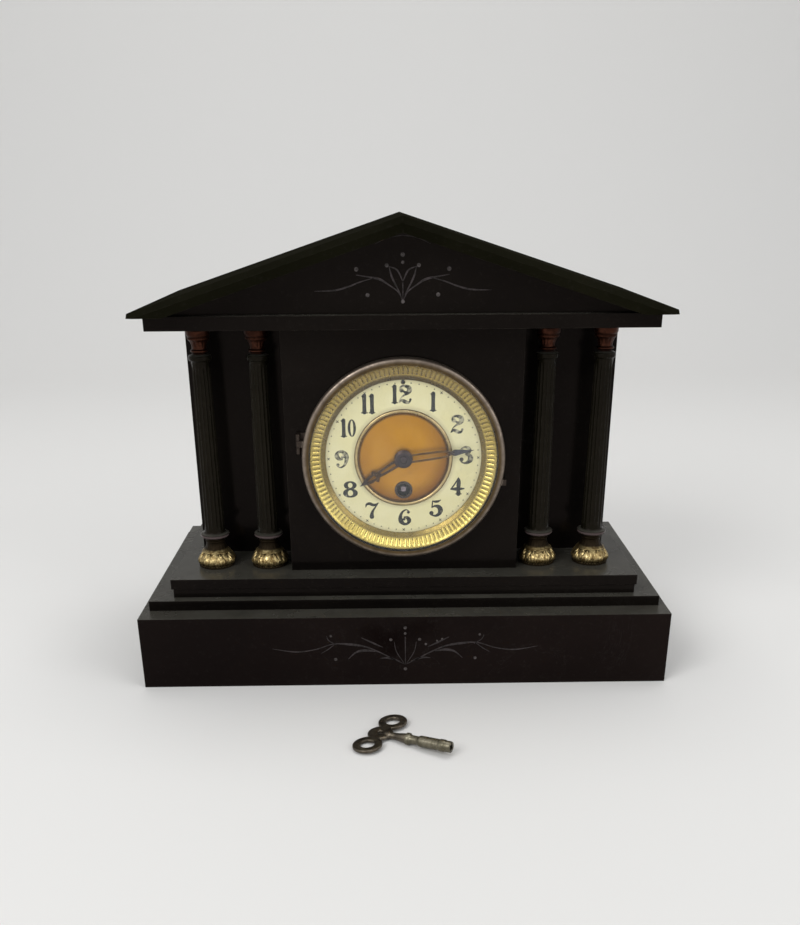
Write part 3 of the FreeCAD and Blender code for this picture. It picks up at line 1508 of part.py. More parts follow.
def make_suspension():
    cock_back = back_plate_back - cock_plate_thickness
    plate_low = anchor_rise + cock_plate_rise
    plate_high = regulator_rise + cock_plate_margin
    half = cock_width / 2
    base = block("cock_plate", (-half, plate_low, cock_back), (half, plate_high, back_plate_back))
    arm_low = anchor_rise + cock_arm_rise
    arm_back = pendulum_plane - cock_arm_overhang
    arm_right = rating_stem_offset + rating_nut_radius * 3 / 2
    arm = block(
        "cock_arm", (-half, arm_low, arm_back), (arm_right, cock_arm_top, cock_back)
    )
    slit_half = suspension_thickness / 2 + slit_clearance
    strip_half = suspension_width / 2
    slit = block(
        "cock_slit",
        (-slit_half, arm_low - overrun, pendulum_plane - strip_half - slit_clearance),
        (slit_half, cock_arm_top + overrun, pendulum_plane + strip_half + slit_clearance),
    )
    stem_hole = upright_rod(
        "stem_hole", rating_stem_radius + rating_stem_clearance, arm_low - overrun,
        cock_arm_top + overrun, rating_stem_offset, pendulum_plane,
    )
    arbor_hole = rod(
        "regulator_hole", regulator_arbor_radius + running_clearance, cock_back - overrun,
        back_plate_back + overrun, 0, regulator_rise,
    )
    cock = cut("suspension_cock", fused("cock_body", [base, arm]), [slit, stem_hole, arbor_hole])
    keep("suspension_cock", in_movement(cock))

    half_thickness = suspension_thickness / 2
    low = (-half_thickness, anchor_rise - suspension_below_axis, pendulum_plane - strip_half)
    high = (half_thickness, cock_arm_top - suspension_inset, pendulum_plane + strip_half)
    strip = fused("suspension_spring", [block("suspension_strip", low, high)])
    keep("suspension_spring", in_movement(strip))


def make_rating_block():
    low_y = anchor_rise + rating_block_rise
    high_y = low_y + rating_block_height
    left = -rating_block_width * 3 / 10
    right = rating_block_width * 7 / 10
    half_depth = rating_block_depth / 2
    low = (left, low_y, pendulum_plane - half_depth)
    body = block("rating_body", low, (right, high_y, pendulum_plane + half_depth))
    slit = block(
        "rating_slit",
        (-rating_slit, low_y - overrun, pendulum_plane - half_depth - overrun),
        (rating_slit, high_y + overrun, pendulum_plane + suspension_width / 2 + rating_slit),
    )
    nut_low = cock_arm_top + rating_nut_gap
    nut_high = nut_low + rating_nut_height
    stem = upright_rod(
        "rating_stem", rating_stem_radius, high_y, nut_high, rating_stem_offset, pendulum_plane
    )
    nut = upright_rod(
        "rating_nut", rating_nut_radius, nut_low, nut_high, rating_stem_offset, pendulum_plane
    )
    split = cut("rating_split", body, [slit])
    keep("rating_block", in_movement(fused("rating_block", [split, stem, nut])))


def make_pendulum():
    chops_top = anchor_rise - suspension_below_axis - chops_gap
    chops_low = chops_top - chops_height
    half = chops_width / 2
    half_depth = suspension_width / 2
    chops = block(
        "pendulum_chops", (-half, chops_low, pendulum_plane - half_depth),
        (half, chops_top, pendulum_plane + half_depth),
    )
    bob_y = anchor_rise - pendulum_length
    nut_top = bob_y - bob_radius - bob_nut_gap
    nut_low = nut_top - bob_nut_height
    rod_low = nut_low - bob_nut_height
    stem = upright_rod(
        "pendulum_stem", pendulum_rod_radius, rod_low, chops_low, 0, pendulum_plane
    )
    nut = upright_rod("bob_nut", bob_nut_radius, nut_low, nut_top, 0, pendulum_plane)
    keep("pendulum_rod", in_movement(fused("pendulum_rod", [chops, stem, nut])))

    half_thickness = bob_thickness / 2
    half_edge = bob_edge / 2
    outline = [
        (0, -half_thickness),
        (bob_radius, -half_edge),
        (bob_radius, half_edge),
        (0, half_thickness),
    ]
    lens = turned("bob_lens", outline, BOB_BULGE_SHARES)
    bore = upright_rod(
        "bob_bore", pendulum_rod_radius + running_clearance, -bob_radius - overrun,
        bob_radius + overrun, 0, 0,
    )
    keep("pendulum_bob", in_movement(cut("pendulum_bob", lens, [bore]), pendulum_plane, 0, bob_y))


def make_regulator():
    end = dial_face + regulator_proud
    square_low = end - regulator_square_length
    cog_top = back_plate_back - cock_plate_thickness - crutch_thickness
    cog_low = cog_top - regulator_cog_height
    half = regulator_square / 2
    pieces = [
        rod("regulator_shaft", regulator_arbor_radius, cog_low, square_low),
        block("regulator_end", (-half, -half, square_low), (half, half, end)),
        rod("regulator_cog", regulator_cog_radius, cog_low, cog_top),
    ]
    arbor = fused("regulator_arbor", pieces)
    keep("regulator_arbor", in_movement(arbor, 0, 0, regulator_rise))


def make_back_ring():
    tube_inner = back_ring_radius - back_ring_wall
    flange_back = case_back_level - back_flange_thickness
    outline = [
        (tube_inner, flange_back),
        (back_flange_radius, flange_back),
        (back_flange_radius, case_back_level),
        (back_ring_radius, case_back_level),
        (back_ring_radius, case_inside_level),
        (tube_inner, case_inside_level),
    ]
    pieces = [turned("back_ring_turning", outline)]
    level = back_hinge_level
    half = knuckle_length / 2
    for number, low in enumerate((half + knuckle_gap, -half - knuckle_gap - knuckle_length), 1):
        high = low + knuckle_length
        name = "back_knuckle_%d" % number
        pieces.append(
            upright_rod(name, back_knuckle_radius, low, high, back_hinge_offset, level)
        )
        leg_half = back_knuckle_radius * 3 / 4
        leg_low = (back_hinge_offset - leg_half, low, level)
        leg_high = (back_hinge_offset + leg_half, high, case_back_level)
        pieces.append(block("back_leg_%d" % number, leg_low, leg_high))
    tools = []
    for number, (x, y) in enumerate(TIES, 1):
        name = "back_screw_hole_%d" % number
        radius = tie_screw_radius + tie_clearance
        low = flange_back - overrun
        tools.append(rod(name, radius, low, case_back_level + overrun, x, y))
    reach = knuckle_length * 3 / 2 + knuckle_gap + overrun
    bore_radius = hinge_pin_radius + pin_clearance
    tools.append(
        upright_rod("back_hinge_bore", bore_radius, -reach, reach, back_hinge_offset, level)
    )
    ring = cut("back_ring", fused("back_ring_body", pieces), tools)
    keep("back_ring", in_movement(ring))


def make_back_door():
    top = case_back_level - back_flange_thickness - back_door_gap
    low = top - back_door_thickness
    disc = rod("back_disc", back_door_radius, low, top)
    level = back_hinge_level
    half = knuckle_length / 2
    knuckle = upright_rod(
        "back_door_knuckle", back_knuckle_radius, -half, half, back_hinge_offset, level
    )
    leaf_low = (back_door_radius - back_flange_thickness, -half, low)
    leaf_high = (back_hinge_offset, half, low + back_door_thickness)
    leaf = block("back_leaf", leaf_low, leaf_high)
    knob = rod(
        "back_knob", back_knob_radius, low - back_knob_height, low, -back_knob_offset, 0
    )
    bore = upright_rod(
        "back_door_bore", hinge_pin_radius + pin_clearance, -half - overrun, half + overrun,
        back_hinge_offset, level,
    )
    door = cut("back_door", fused("back_door_body", [disc, knuckle, leaf, knob]), [bore])
    keep("back_door", in_movement(door))


def make_ties():
    rods = []
    screws = []
    rod_back = case_inside_level
    rod_front = front_plate_back - seat_lip_thickness
    head_face = case_back_level - back_flange_thickness
    screw_end = head_face + tie_screw_length
    for number, (x, y) in enumerate(TIES, 1):
        bar = rod("tie_bar_%d" % number, tie_rod_radius, rod_back, rod_front, x, y)
        thread = rod(
            "tie_thread_%d" % number, tie_screw_radius + tie_clearance / 2,
            rod_back - overrun, screw_end + overrun, x, y,
        )
        rods.append(cut("tie_rod_%d" % number, bar, [thread]))
        head = rod(
            "tie_head_%d" % number, tie_head_radius, head_face - tie_head_height, head_face, x, y
        )
        shank = rod("tie_shank_%d" % number, tie_screw_radius, head_face, screw_end, x, y)
        screws.append(fused("tie_screw_%d" % number, [head, shank]))
    for label, pieces in (("tie_rods", rods), ("tie_screws", screws)):
        group = DOC.addObject("Part::Compound", label)
        group.Links = pieces
        keep(label, in_movement(group))


def sideways_rod(name, radius, low, high):
    """A cylinder along X."""
    bar = DOC.addObject("Part::Cylinder", name)
    sized(bar, Radius=radius, Height=high - low)
    return placed(bar, (low, 0, 0), ALONG_X)


def make_key():
    half = key_bow_thickness / 2
    barrel_end = key_barrel_start + key_barrel_length
    neck_end = key_hub_radius / 2
    neck = DOC.addObject("Part::Cone", "key_neck")
    sized(
        neck, Radius1=key_neck_radius, Radius2=key_barrel_radius,
        Height=key_barrel_start - neck_end,
    )
    placed(neck, (neck_end, 0, 0), ALONG_X)
    pieces = [
        sideways_rod("key_tube", key_barrel_radius, key_barrel_start, barrel_end),
        sideways_rod(
            "key_collar", key_collar_radius, key_barrel_start,
            key_barrel_start + key_collar_length,
        ),
        neck,
        rod("key_hub", key_hub_radius, -half, half),
    ]
    holes = [rod("key_hub_bore", key_hub_hole, -half - overrun, half + overrun)]
    for number, side in enumerate((-1, 1), 1):
        y = side * key_ring_offset
        pieces.append(rod("key_ring_%d" % number, key_ring_radius, -half, half, 0, y))
        name = "key_ring_bore_%d" % number
        holes.append(rod(name, key_ring_hole, -half - overrun, half + overrun, 0, y))
    square_half = key_square / 2
    holes.append(
        block(
            "key_socket", (barrel_end - key_square_depth, -square_half, -square_half),
            (barrel_end + overrun, square_half, square_half),
        )
    )
    key = cut("winding_key", fused("key_body", pieces), holes)
    reach = key_barrel_start + key_ring_radius
    tilt = math.atan2(float(key_collar_radius) - float(half), float(reach))
    rise = float(half) * math.cos(tilt) + float(key_ring_radius) * math.sin(tilt)
    key_front = plinth_front - key_distance
    heading = Rotation(UP_AXIS, KEY_DIRECTION)
    lean = Rotation(DEPTH_AXIS, -math.degrees(tilt))
    placed(key, (key_place_side, key_front, rise), heading.multiply(lean))
    keep("winding_key", key)


make_plinth_and_steps()
make_upright_slabs()
make_entablature_and_roof()
make_columns()
make_seat()
make_bezel()
make_hinge_pins()
make_dial()
make_plates()
make_barrel()
make_ratchet()
make_train()
make_motion_work()
make_hands()
make_anchor()
make_suspension()
make_rating_block()
make_pendulum()
make_regulator()
make_back_ring()
make_back_door()
make_ties()
make_key()

DOC.recompute()
faults = [item.Name for item in DOC.Objects if {"Invalid", "Error"} & set(item.State)]
for label, piece in NODES.items():
    if piece.Shape.isNull() or not piece.Shape.isValid() or not piece.Shape.Solids:
        faults.append(label)
if faults:
    raise RuntimeError("these did not build: " + ", ".join(faults))

os.makedirs("parts", exist_ok=True)
for label, piece in NODES.items():
    piece.Shape.exportStep("parts/%s.step" % label)
print(len(NODES), "sub-parts written")
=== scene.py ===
import math

import bmesh
import bpy
from mathutils import Matrix, Vector


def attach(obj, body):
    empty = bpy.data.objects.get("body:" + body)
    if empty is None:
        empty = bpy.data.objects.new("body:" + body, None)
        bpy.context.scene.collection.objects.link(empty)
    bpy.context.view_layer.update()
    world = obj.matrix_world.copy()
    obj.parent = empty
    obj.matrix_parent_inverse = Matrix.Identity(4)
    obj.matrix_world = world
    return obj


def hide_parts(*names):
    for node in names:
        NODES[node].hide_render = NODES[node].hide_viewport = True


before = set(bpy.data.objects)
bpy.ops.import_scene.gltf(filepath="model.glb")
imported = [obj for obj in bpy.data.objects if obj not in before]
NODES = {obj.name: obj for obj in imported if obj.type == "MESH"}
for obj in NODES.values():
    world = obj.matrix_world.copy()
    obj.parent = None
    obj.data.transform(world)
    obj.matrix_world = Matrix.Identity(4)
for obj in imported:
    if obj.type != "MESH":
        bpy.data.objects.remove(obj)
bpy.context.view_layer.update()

# Sizes are in millimetres here, and each piece's matrix brings them to metres
MM = 0.001
SLAB_FRONT = -33.0
DIAL_CENTRE = 150.0
WINDING_HEIGHT = 128.0
DECK = 71.4
WORLD = Matrix.Scale(MM, 4)
# The dial's own axes: x to the right, y up, z towards the viewer
DIAL = WORLD @ Matrix.Translation((0, SLAB_FRONT, DIAL_CENTRE)) @ Matrix.Rotation(
    math.pi / 2, 4, "X"
)


# Materials
class Material:
    """A procedural material: a Principled shader and helpers that add nodes to it."""

    def __init__(self, name, roughness=0.5, metallic=0.0, specular=0.5):
        self.material = bpy.data.materials.new(name)
        self.material.use_nodes = True
        self.nodes = self.material.node_tree.nodes
        self.links = self.material.node_tree.links
        self.shader = self.nodes["Principled BSDF"]
        self.shader.inputs["Roughness"].default_value = roughness
        self.shader.inputs["Metallic"].default_value = metallic
        self.shader.inputs["Specular IOR Level"].default_value = specular
        place = self.nodes.new("ShaderNodeTexCoord")
        self.place = place.outputs["Object"]

    def put(self, value, target):
        if hasattr(value, "is_linked"):
            self.links.new(value, target)
        else:
            target.default_value = value

    def noise(self, scale, detail=4.0, roughness=0.55, distortion=0.0, place=None):
        node = self.nodes.new("ShaderNodeTexNoise")
        node.inputs["Scale"].default_value = scale
        node.inputs["Detail"].default_value = detail
        node.inputs["Roughness"].default_value = roughness
        node.inputs["Distortion"].default_value = distortion
        self.links.new(place or self.place, node.inputs["Vector"])
        return node.outputs["Fac"]

    def maths(self, kind, first, second=0.0, clamp=False):
        node = self.nodes.new("ShaderNodeMath")
        node.operation = kind
        node.use_clamp = clamp
        self.put(first, node.inputs[0])
        self.put(second, node.inputs[1])
        return node.outputs[0]

    def times(self, first, second):
        return self.maths("MULTIPLY", first, second)

    def capped_sum(self, first, second):
        """A sum kept within 0 and 1."""
        return self.maths("ADD", first, second, True)

    def wander(self, *noise):
        """Distance of a noise from its middle: near 0 along thin wandering lines."""
        return self.maths("ABSOLUTE", self.maths("SUBTRACT", self.noise(*noise), 0.5))

    def span(self, value, low, high, new_low=0.0, new_high=1.0):
        node = self.nodes.new("ShaderNodeMapRange")
        for name, number in (
            ("From Min", low), ("From Max", high), ("To Min", new_low), ("To Max", new_high)
        ):
            node.inputs[name].default_value = number
        self.put(value, node.inputs["Value"])
        return node.outputs["Result"]

    def blend(self, share, first, second):
        node = self.nodes.new("ShaderNodeMix")
        node.data_type = "RGBA"
        self.put(share, node.inputs[0])
        for value, target in ((first, node.inputs[6]), (second, node.inputs[7])):
            if isinstance(value, tuple):
                target.default_value = value + (1.0,)
            else:
                self.links.new(value, target)
        return node.outputs[2]

    def split(self):
        node = self.nodes.new("ShaderNodeSeparateXYZ")
        self.links.new(self.place, node.inputs[0])
        return node.outputs

    def stretched(self, x, y, z):
        node = self.nodes.new("ShaderNodeMapping")
        node.inputs["Scale"].default_value = (x, y, z)
        self.links.new(self.place, node.inputs["Vector"])
        return node.outputs["Vector"]

    def away_from(self, height):
        """Millimetres from an axis that runs from front to back at that height."""
        x, _, z = self.split()
        rise = self.maths("SUBTRACT", z, height * MM)
        square = self.maths("ADD", self.times(x, x), self.times(rise, rise))
        return self.times(self.maths("SQRT", square), 1.0 / MM)

    def rounded(self, radius):
        """Normals that round the edges, and how near a surface point lies to an edge."""
        bevel = self.nodes.new("ShaderNodeBevel")
        bevel.samples = 6
        bevel.inputs["Radius"].default_value = radius * MM
        geometry = self.nodes.new("ShaderNodeNewGeometry")
        dot = self.nodes.new("ShaderNodeVectorMath")
        dot.operation = "DOT_PRODUCT"
        self.links.new(bevel.outputs["Normal"], dot.inputs[0])
        self.links.new(geometry.outputs["Normal"], dot.inputs[1])
        near = self.span(dot.outputs["Value"], 0.995, 0.85)
        return bevel.outputs["Normal"], near

    def upward(self):
        """How far a surface looks up: 1 on a level top, 0 on a wall or an underside."""
        geometry = self.nodes.new("ShaderNodeNewGeometry")
        node = self.nodes.new("ShaderNodeSeparateXYZ")
        self.links.new(geometry.outputs["Normal"], node.inputs[0])
        return self.span(node.outputs[2], 0.6, 0.97)

    def hollow(self, distance):
        """How enclosed a point is: 1 in a crevice, 0 in the open."""
        node = self.nodes.new("ShaderNodeAmbientOcclusion")
        node.samples = 6
        node.inputs["Distance"].default_value = distance * MM
        return self.maths("SUBTRACT", 1.0, node.outputs["AO"])

    def bump(self, height, depth, strength, normal=None):
        node = self.nodes.new("ShaderNodeBump")
        node.inputs["Strength"].default_value = strength
        node.inputs["Distance"].default_value = depth * MM
        self.put(height, node.inputs["Height"])
        if normal is not None:
            self.links.new(normal, node.inputs["Normal"])
        return node.outputs["Normal"]

    def finish(self, colour, roughness, normal=None, metallic=None):
        if colour is not None:
            self.links.new(colour, self.shader.inputs["Base Color"])
        self.links.new(roughness, self.shader.inputs["Roughness"])
        if normal is not None:
            self.links.new(normal, self.shader.inputs["Normal"])
        if metallic is not None:
            self.put(metallic, self.shader.inputs["Metallic"])
        return self.material


def stone(name, tone, warm, gloss=0.1, edge=0.7, rubbed_and_highlight=None, specular=0.11, dust=1.0):
    """Black polished slate: cloudy tone, faint veins, worn arrises, dust on what looks up, a
    painted highlight band.
    """
    m = Material(name, specular=specular)
    m.shader.inputs["Specular Tint"].default_value = (0.62, 0.50, 0.46, 1.0)
    clouds = m.noise(9.0, 5.0, 0.6, 0.4)
    specks = m.noise(420.0, 3.0, 0.6)
    colour = m.blend(m.span(clouds, 0.35, 0.7), tone, warm)
    colour = m.blend(m.span(specks, 0.58, 0.8, 0.0, 0.3), colour, (0.024, 0.021, 0.018))
    patchy = m.span(m.noise(4.0, 2.0), 0.5, 0.75)
    veins = m.times(m.span(m.wander(14.0, 6.0, 0.62, 1.6), 0.006, 0.0), patchy)
    colour = m.blend(m.times(veins, 0.25), colour, (0.06, 0.056, 0.052))
    normal, near = m.rounded(0.45)
    chipped = m.span(m.noise(150.0, 5.0, 0.7), 0.42, 0.62)
    wear_and_highlight = m.times(m.times(near, chipped), edge)
    colour = m.blend(wear_and_highlight, colour, (0.06, 0.053, 0.043))
    # A band of painted highlight between two heights, as on the columns' foot ring
    if rubbed_and_highlight:
        low, high = rubbed_and_highlight
        z = m.split()[2]
        above = m.span(z, low * MM, (low + 0.4) * MM)
        below = m.span(z, high * MM, (high - 0.9) * MM)
        colour = m.blend(m.times(m.times(above, below), 0.75), colour, (0.13, 0.098, 0.098))
    uneven = m.span(m.noise(34.0, 6.0, 0.7), 0.2, 0.75, 0.45, 1.0)
    settled = m.times(m.times(m.upward(), uneven), dust)
    colour = m.blend(settled, colour, (0.066, 0.063, 0.052))
    crevice = m.times(m.span(m.hollow(9.0), 0.15, 0.75), 0.15)
    colour = m.blend(crevice, colour, (0.020, 0.017, 0.013))
    smears = m.noise(26.0, 5.0, 0.65, 0.6, m.stretched(1.0, 1.0, 0.45))
    rough = m.span(smears, 0.3, 0.75, gloss, gloss + 0.14)
    rough = m.capped_sum(rough, m.times(wear_and_highlight, 0.3))
    rough = m.capped_sum(rough, m.times(settled, 0.12))
    ripple = m.maths("ADD", m.noise(60.0, 3.0), m.times(specks, 0.35))
    return m.finish(colour, rough, m.bump(ripple, 0.05, 0.5, normal))


def cast_brass(
    name, bright, dull, dark, hollow_mm, gloss, shaded_heights=(), grain_mm=0.04, grain=900.0, blotch=140.0
):
    """Old cast brass: rubbed on its high places, dark in hollows, and painted shade between given
    heights.
    """
    m = Material(name, metallic=0.92)
    tarnish = m.span(m.noise(blotch, 6.0, 0.65, 0.5), 0.35, 0.62)
    colour = m.blend(tarnish, bright, dull)
    normal, near = m.rounded(0.25)
    colour = m.blend(m.times(near, 0.5), colour, bright)
    soot = m.span(m.hollow(hollow_mm), 0.12, 0.6)
    stains = m.span(m.noise(60.0, 4.0, 0.6), 0.55, 0.75)
    dirt_and_shade = m.capped_sum(m.times(stains, 0.35), soot)
    # Painted shade between the given heights
    for low, high in shaded_heights:
        dirt_and_shade = m.capped_sum(dirt_and_shade, m.span(m.split()[2], low * MM, high * MM))
    colour = m.blend(dirt_and_shade, colour, dark)
    rough = m.span(tarnish, 0.0, 1.0, gloss, gloss + 0.22)
    rough = m.capped_sum(rough, m.times(dirt_and_shade, 0.25))
    return m.finish(colour, rough, m.bump(m.noise(grain, 4.0, 0.6), grain_mm, 0.6, normal))


def rim_brass():
    """The tarnished bezel: grey on its outer edge, brown towards the glass, sooty hinge."""
    m = Material("rim_brass", metallic=0.9)
    radius = m.away_from(DIAL_CENTRE)
    tarnish = m.span(m.noise(140.0, 6.0, 0.65, 0.5), 0.35, 0.68)
    outer = m.blend(tarnish, (0.25, 0.205, 0.165), (0.125, 0.098, 0.080))
    inner = m.blend(tarnish, (0.105, 0.070, 0.032), (0.060, 0.040, 0.020))
    outward = m.span(radius, 64.0, 65.8)
    colour = m.blend(outward, inner, outer)
    normal, near = m.rounded(0.25)
    colour = m.blend(m.times(near, 0.4), colour, (0.30, 0.25, 0.20))
    hinge = m.span(radius, 67.4, 68.2, 0.0, 0.92)
    colour = m.blend(hinge, colour, (0.030, 0.022, 0.018))
    soot = m.span(m.hollow(1.6), 0.12, 0.6)
    colour = m.blend(soot, colour, (0.030, 0.021, 0.016))
    rough = m.span(tarnish, 0.0, 1.0, 0.3, 0.5)
    return m.finish(colour, rough, m.bump(m.noise(900.0, 3.0, 0.6), 0.04, 0.6, normal))


def arbor_steel():
    """The winding arbor: painted near black for the shade inside the winding hole, with a painted
    highlight on its square's end.
    """
    m = Material("arbor_steel", metallic=0.7)
    # Painted highlight on the end of the square
    bright = m.span(m.away_from(WINDING_HEIGHT), 2.3, 1.6)
    wear_and_highlight = m.blend(m.span(m.noise(500.0, 4.0), 0.35, 0.7), (0.34, 0.28, 0.32), (0.16, 0.13, 0.15))
    colour = m.blend(bright, (0.012, 0.008, 0.010), wear_and_highlight)
    rough = m.span(m.noise(300.0), 0.3, 0.7, 0.35, 0.55)
    return m.finish(colour, rough, m.bump(m.noise(900.0), 0.02, 0.5))


def machined(name, clean, tarnished, roughness=0.28):
    """Brass or steel of the movement: fine turning marks, light tarnish and fingerprints."""
    m = Material(name, metallic=1.0)
    lines = m.noise(600.0, 2.0, 0.5, 0.0, m.stretched(1.0, 0.05, 1.0))
    tarnish = m.span(m.noise(70.0, 5.0, 0.6, 0.3), 0.4, 0.7)
    colour = m.blend(tarnish, clean, tarnished)
    normal, _ = m.rounded(0.12)
    rough = m.span(m.noise(200.0, 3.0), 0.3, 0.7, roughness, roughness + 0.15)
    return m.finish(colour, rough, m.bump(lines, 0.015, 0.5, normal))


def enamel():
    """Cream enamel: slightly wavy and glossy, with hairlines and yellowing towards the edges."""
    m = Material("enamel")
    radius = m.away_from(DIAL_CENTRE)
    clouds = m.span(m.noise(45.0, 4.0, 0.6), 0.35, 0.7)
    colour = m.blend(clouds, (0.86, 0.81, 0.49), (0.80, 0.74, 0.39))
    rim = m.capped_sum(m.span(radius, 36.0, 33.2), m.span(radius, 49.5, 52.4))
    rim = m.times(rim, 0.55)
    colour = m.blend(rim, colour, (0.50, 0.44, 0.25))
    crack = m.span(m.wander(38.0, 2.0, 0.5, 0.8), 0.0035, 0.0)
    hair = m.times(crack, m.span(m.noise(22.0), 0.56, 0.64))
    colour = m.blend(m.times(hair, 0.45), colour, (0.30, 0.26, 0.18))
    rough = m.span(m.noise(90.0, 3.0), 0.3, 0.7, 0.16, 0.3)
    return m.finish(colour, rough, m.bump(m.noise(55.0, 2.0), 0.06, 0.4))


def printed(name, low, high):
    """Black figures, rubbed thin in places."""
    m = Material(name, specular=0.4)
    rub = m.span(m.noise(260.0, 5.0, 0.65), low, high)
    colour = m.blend(m.times(rub, 0.8), (0.010, 0.012, 0.010), (0.56, 0.53, 0.36))
    rough = m.span(m.noise(300.0), 0.3, 0.7, 0.3, 0.5)
    return m.finish(colour, rough)


def centre_brass():
    """The satin centre of the dial with its polished, dark-edged ring."""
    m = Material("centre_brass", metallic=0.9)
    radius = m.away_from(DIAL_CENTRE)
    x, _, z = m.split()
    wide = m.span(m.noise(24.0, 4.0, 0.6, 0.8), 0.3, 0.72)
    colour = m.blend(wide, (0.60, 0.295, 0.022), (0.49, 0.215, 0.014))
    rise = m.maths("SUBTRACT", z, DIAL_CENTRE * MM)
    across = m.maths("SUBTRACT", m.times(x, 0.6), rise)
    lit_side = m.span(across, -0.03, 0.03, 0.15, 1.0)
    shaded = m.times(lit_side, m.span(radius, 19.0, 30.0))
    colour = m.blend(shaded, colour, (0.19, 0.065, 0.006))
    spots = m.span(m.noise(240.0, 5.0, 0.65), 0.58, 0.75)
    colour = m.blend(m.times(spots, 0.35), colour, (0.26, 0.13, 0.03))
    ring = m.span(radius, 30.15, 30.35)
    pale = m.blend(m.span(m.noise(160.0, 4.0), 0.4, 0.7), (0.54, 0.41, 0.20), (0.36, 0.27, 0.12))
    colour = m.blend(ring, colour, pale)
    inner = m.times(m.span(radius, 28.5, 29.6), m.span(radius, 30.9, 30.5))
    outer = m.span(radius, 32.3, 32.7)
    dark = m.times(m.capped_sum(inner, outer), 0.9)
    colour = m.blend(dark, colour, (0.080, 0.036, 0.006))
    # Painted shade: the dial is painted near black round the winding hole, over its eyelet, and
    # made less metallic there
    hole_shade = m.span(m.away_from(WINDING_HEIGHT), 6.4, 5.8)
    colour = m.blend(m.times(hole_shade, 0.97), colour, (0.010, 0.004, 0.005))
    rough = m.span(m.noise(120.0, 4.0), 0.3, 0.7, 0.34, 0.48)
    rough = m.maths("SUBTRACT", rough, m.times(ring, 0.1))
    rings = m.maths("SINE", m.times(radius, 22.0))
    height = m.maths("ADD", rings, m.noise(500.0))
    metal = m.span(hole_shade, 0.0, 1.0, 0.9, 0.1)
    return m.finish(colour, rough, m.bump(height, 0.008, 0.5), metal)


def gilt():
    """Gilding on the fluted ring: bright flutes, dirt between them, painted shade on its upper
    part and edges.
    """
    m = Material("fluted_gilding", metallic=0.85)
    wear = m.span(m.noise(75.0, 6.0, 0.65, 0.4), 0.4, 0.72)
    colour = m.blend(wear, (0.61, 0.49, 0.135), (0.46, 0.35, 0.085))
    radius = m.away_from(DIAL_CENTRE)
    # Painted shade: the upper part of the ring is duller, as it faces down away from the light
    top = m.span(m.split()[2], (DIAL_CENTRE - 30.0) * MM, (DIAL_CENTRE + 55.0) * MM, 0.0, 0.75)
    colour = m.blend(top, colour, (0.36, 0.24, 0.05))
    # Painted shade along the inner edge of the ring and, fainter, along its outer edge
    edge = m.capped_sum(m.span(radius, 55.9, 55.1), m.span(radius, 61.6, 62.3, 0.0, 0.3))
    dirt_and_shade = m.capped_sum(m.span(m.hollow(1.2), 0.10, 0.5), m.times(edge, 0.95))
    colour = m.blend(m.times(dirt_and_shade, 0.85), colour, (0.12, 0.078, 0.020))
    rough = m.span(m.noise(180.0, 4.0), 0.3, 0.7, 0.22, 0.38)
    return m.finish(colour, rough, m.bump(m.noise(700.0), 0.02, 0.4))


def blued(name, tone, sheen_tone, far=None):
    """Old blued steel in patches of two tones, and on a hand a third tone far from its axis."""
    m = Material(name, metallic=0.8)
    patches = m.span(m.noise(190.0, 5.0, 0.65), 0.4, 0.68)
    colour = m.blend(patches, tone, sheen_tone)
    if far:
        radius = m.away_from(DIAL_CENTRE)
        colour = m.blend(m.span(radius, 28.0, 35.0), colour, far)
        colour = m.blend(m.span(radius, 8.0, 4.5), colour, (0.040, 0.028, 0.034))
    normal, near = m.rounded(0.12)
    edge_tone = (0.14, 0.085, 0.035) if far else (0.22, 0.18, 0.14)
    colour = m.blend(m.times(near, 0.5), colour, edge_tone)
    rough = m.span(m.noise(240.0), 0.3, 0.7, 0.24, 0.42)
    return m.finish(colour, rough, m.bump(m.noise(800.0), 0.02, 0.5, normal))


def glazing():
    """Clear thin glass with faint smears."""
    m = Material("glazing", roughness=0.04)
    m.shader.inputs["Base Color"].default_value = (0.93, 0.96, 0.94, 1.0)
    m.shader.inputs["IOR"].default_value = 1.5
    smear = m.span(m.noise(16.0, 4.0, 0.6, 0.5), 0.35, 0.8, 0.02, 0.055)
    m.links.new(smear, m.shader.inputs["Alpha"])
    rough = m.span(m.noise(30.0, 3.0), 0.3, 0.7, 0.02, 0.08)
    return m.finish(None, rough)


def inlay(name, tone):
    """Marks cut in the slate and once filled with bronze powder."""
    m = Material(name, metallic=0.25, specular=0.3)
    fill = m.span(m.noise(330.0, 5.0, 0.7), 0.36, 0.62)
    colour = m.blend(fill, (0.010, 0.008, 0.007), tone)
    rough = m.span(m.noise(400.0), 0.3, 0.7, 0.45, 0.7)
    return m.finish(colour, rough, m.bump(m.noise(900.0), 0.03, 0.6))


SLATE = stone("slate", (0.0027, 0.0022, 0.0020), (0.0064, 0.0052, 0.0042))
SLATE_WARM = stone("slate_plinth", (0.0036, 0.0022, 0.0021), (0.0078, 0.0048, 0.0042))
# The shafts carry a band of painted highlight on their foot ring
SLATE_COLUMN = stone(
    "slate_column", (0.0045, 0.0040, 0.0023), (0.0092, 0.0080, 0.0046), 0.2, 0.4,
    (DECK + 20.6, DECK + 23.6),
)
SLATE_ROOF = stone(
    "slate_roof", (0.0050, 0.0048, 0.0026), (0.0095, 0.0090, 0.0048), 0.3, 0.5,
    specular=0.0, dust=0.12,
)
# Painted shade on the bases' neck under the shaft's ring and on the foot next to the deck
BASE_BRASS = cast_brass(
    "column_base_brass", (0.58, 0.46, 0.22), (0.13, 0.080, 0.026), (0.014, 0.009, 0.004),
    3.2, 0.22, ((DECK + 10.2, DECK + 13.0), (DECK + 2.4, DECK + 0.8)), 0.4, 420.0, 330.0,
)
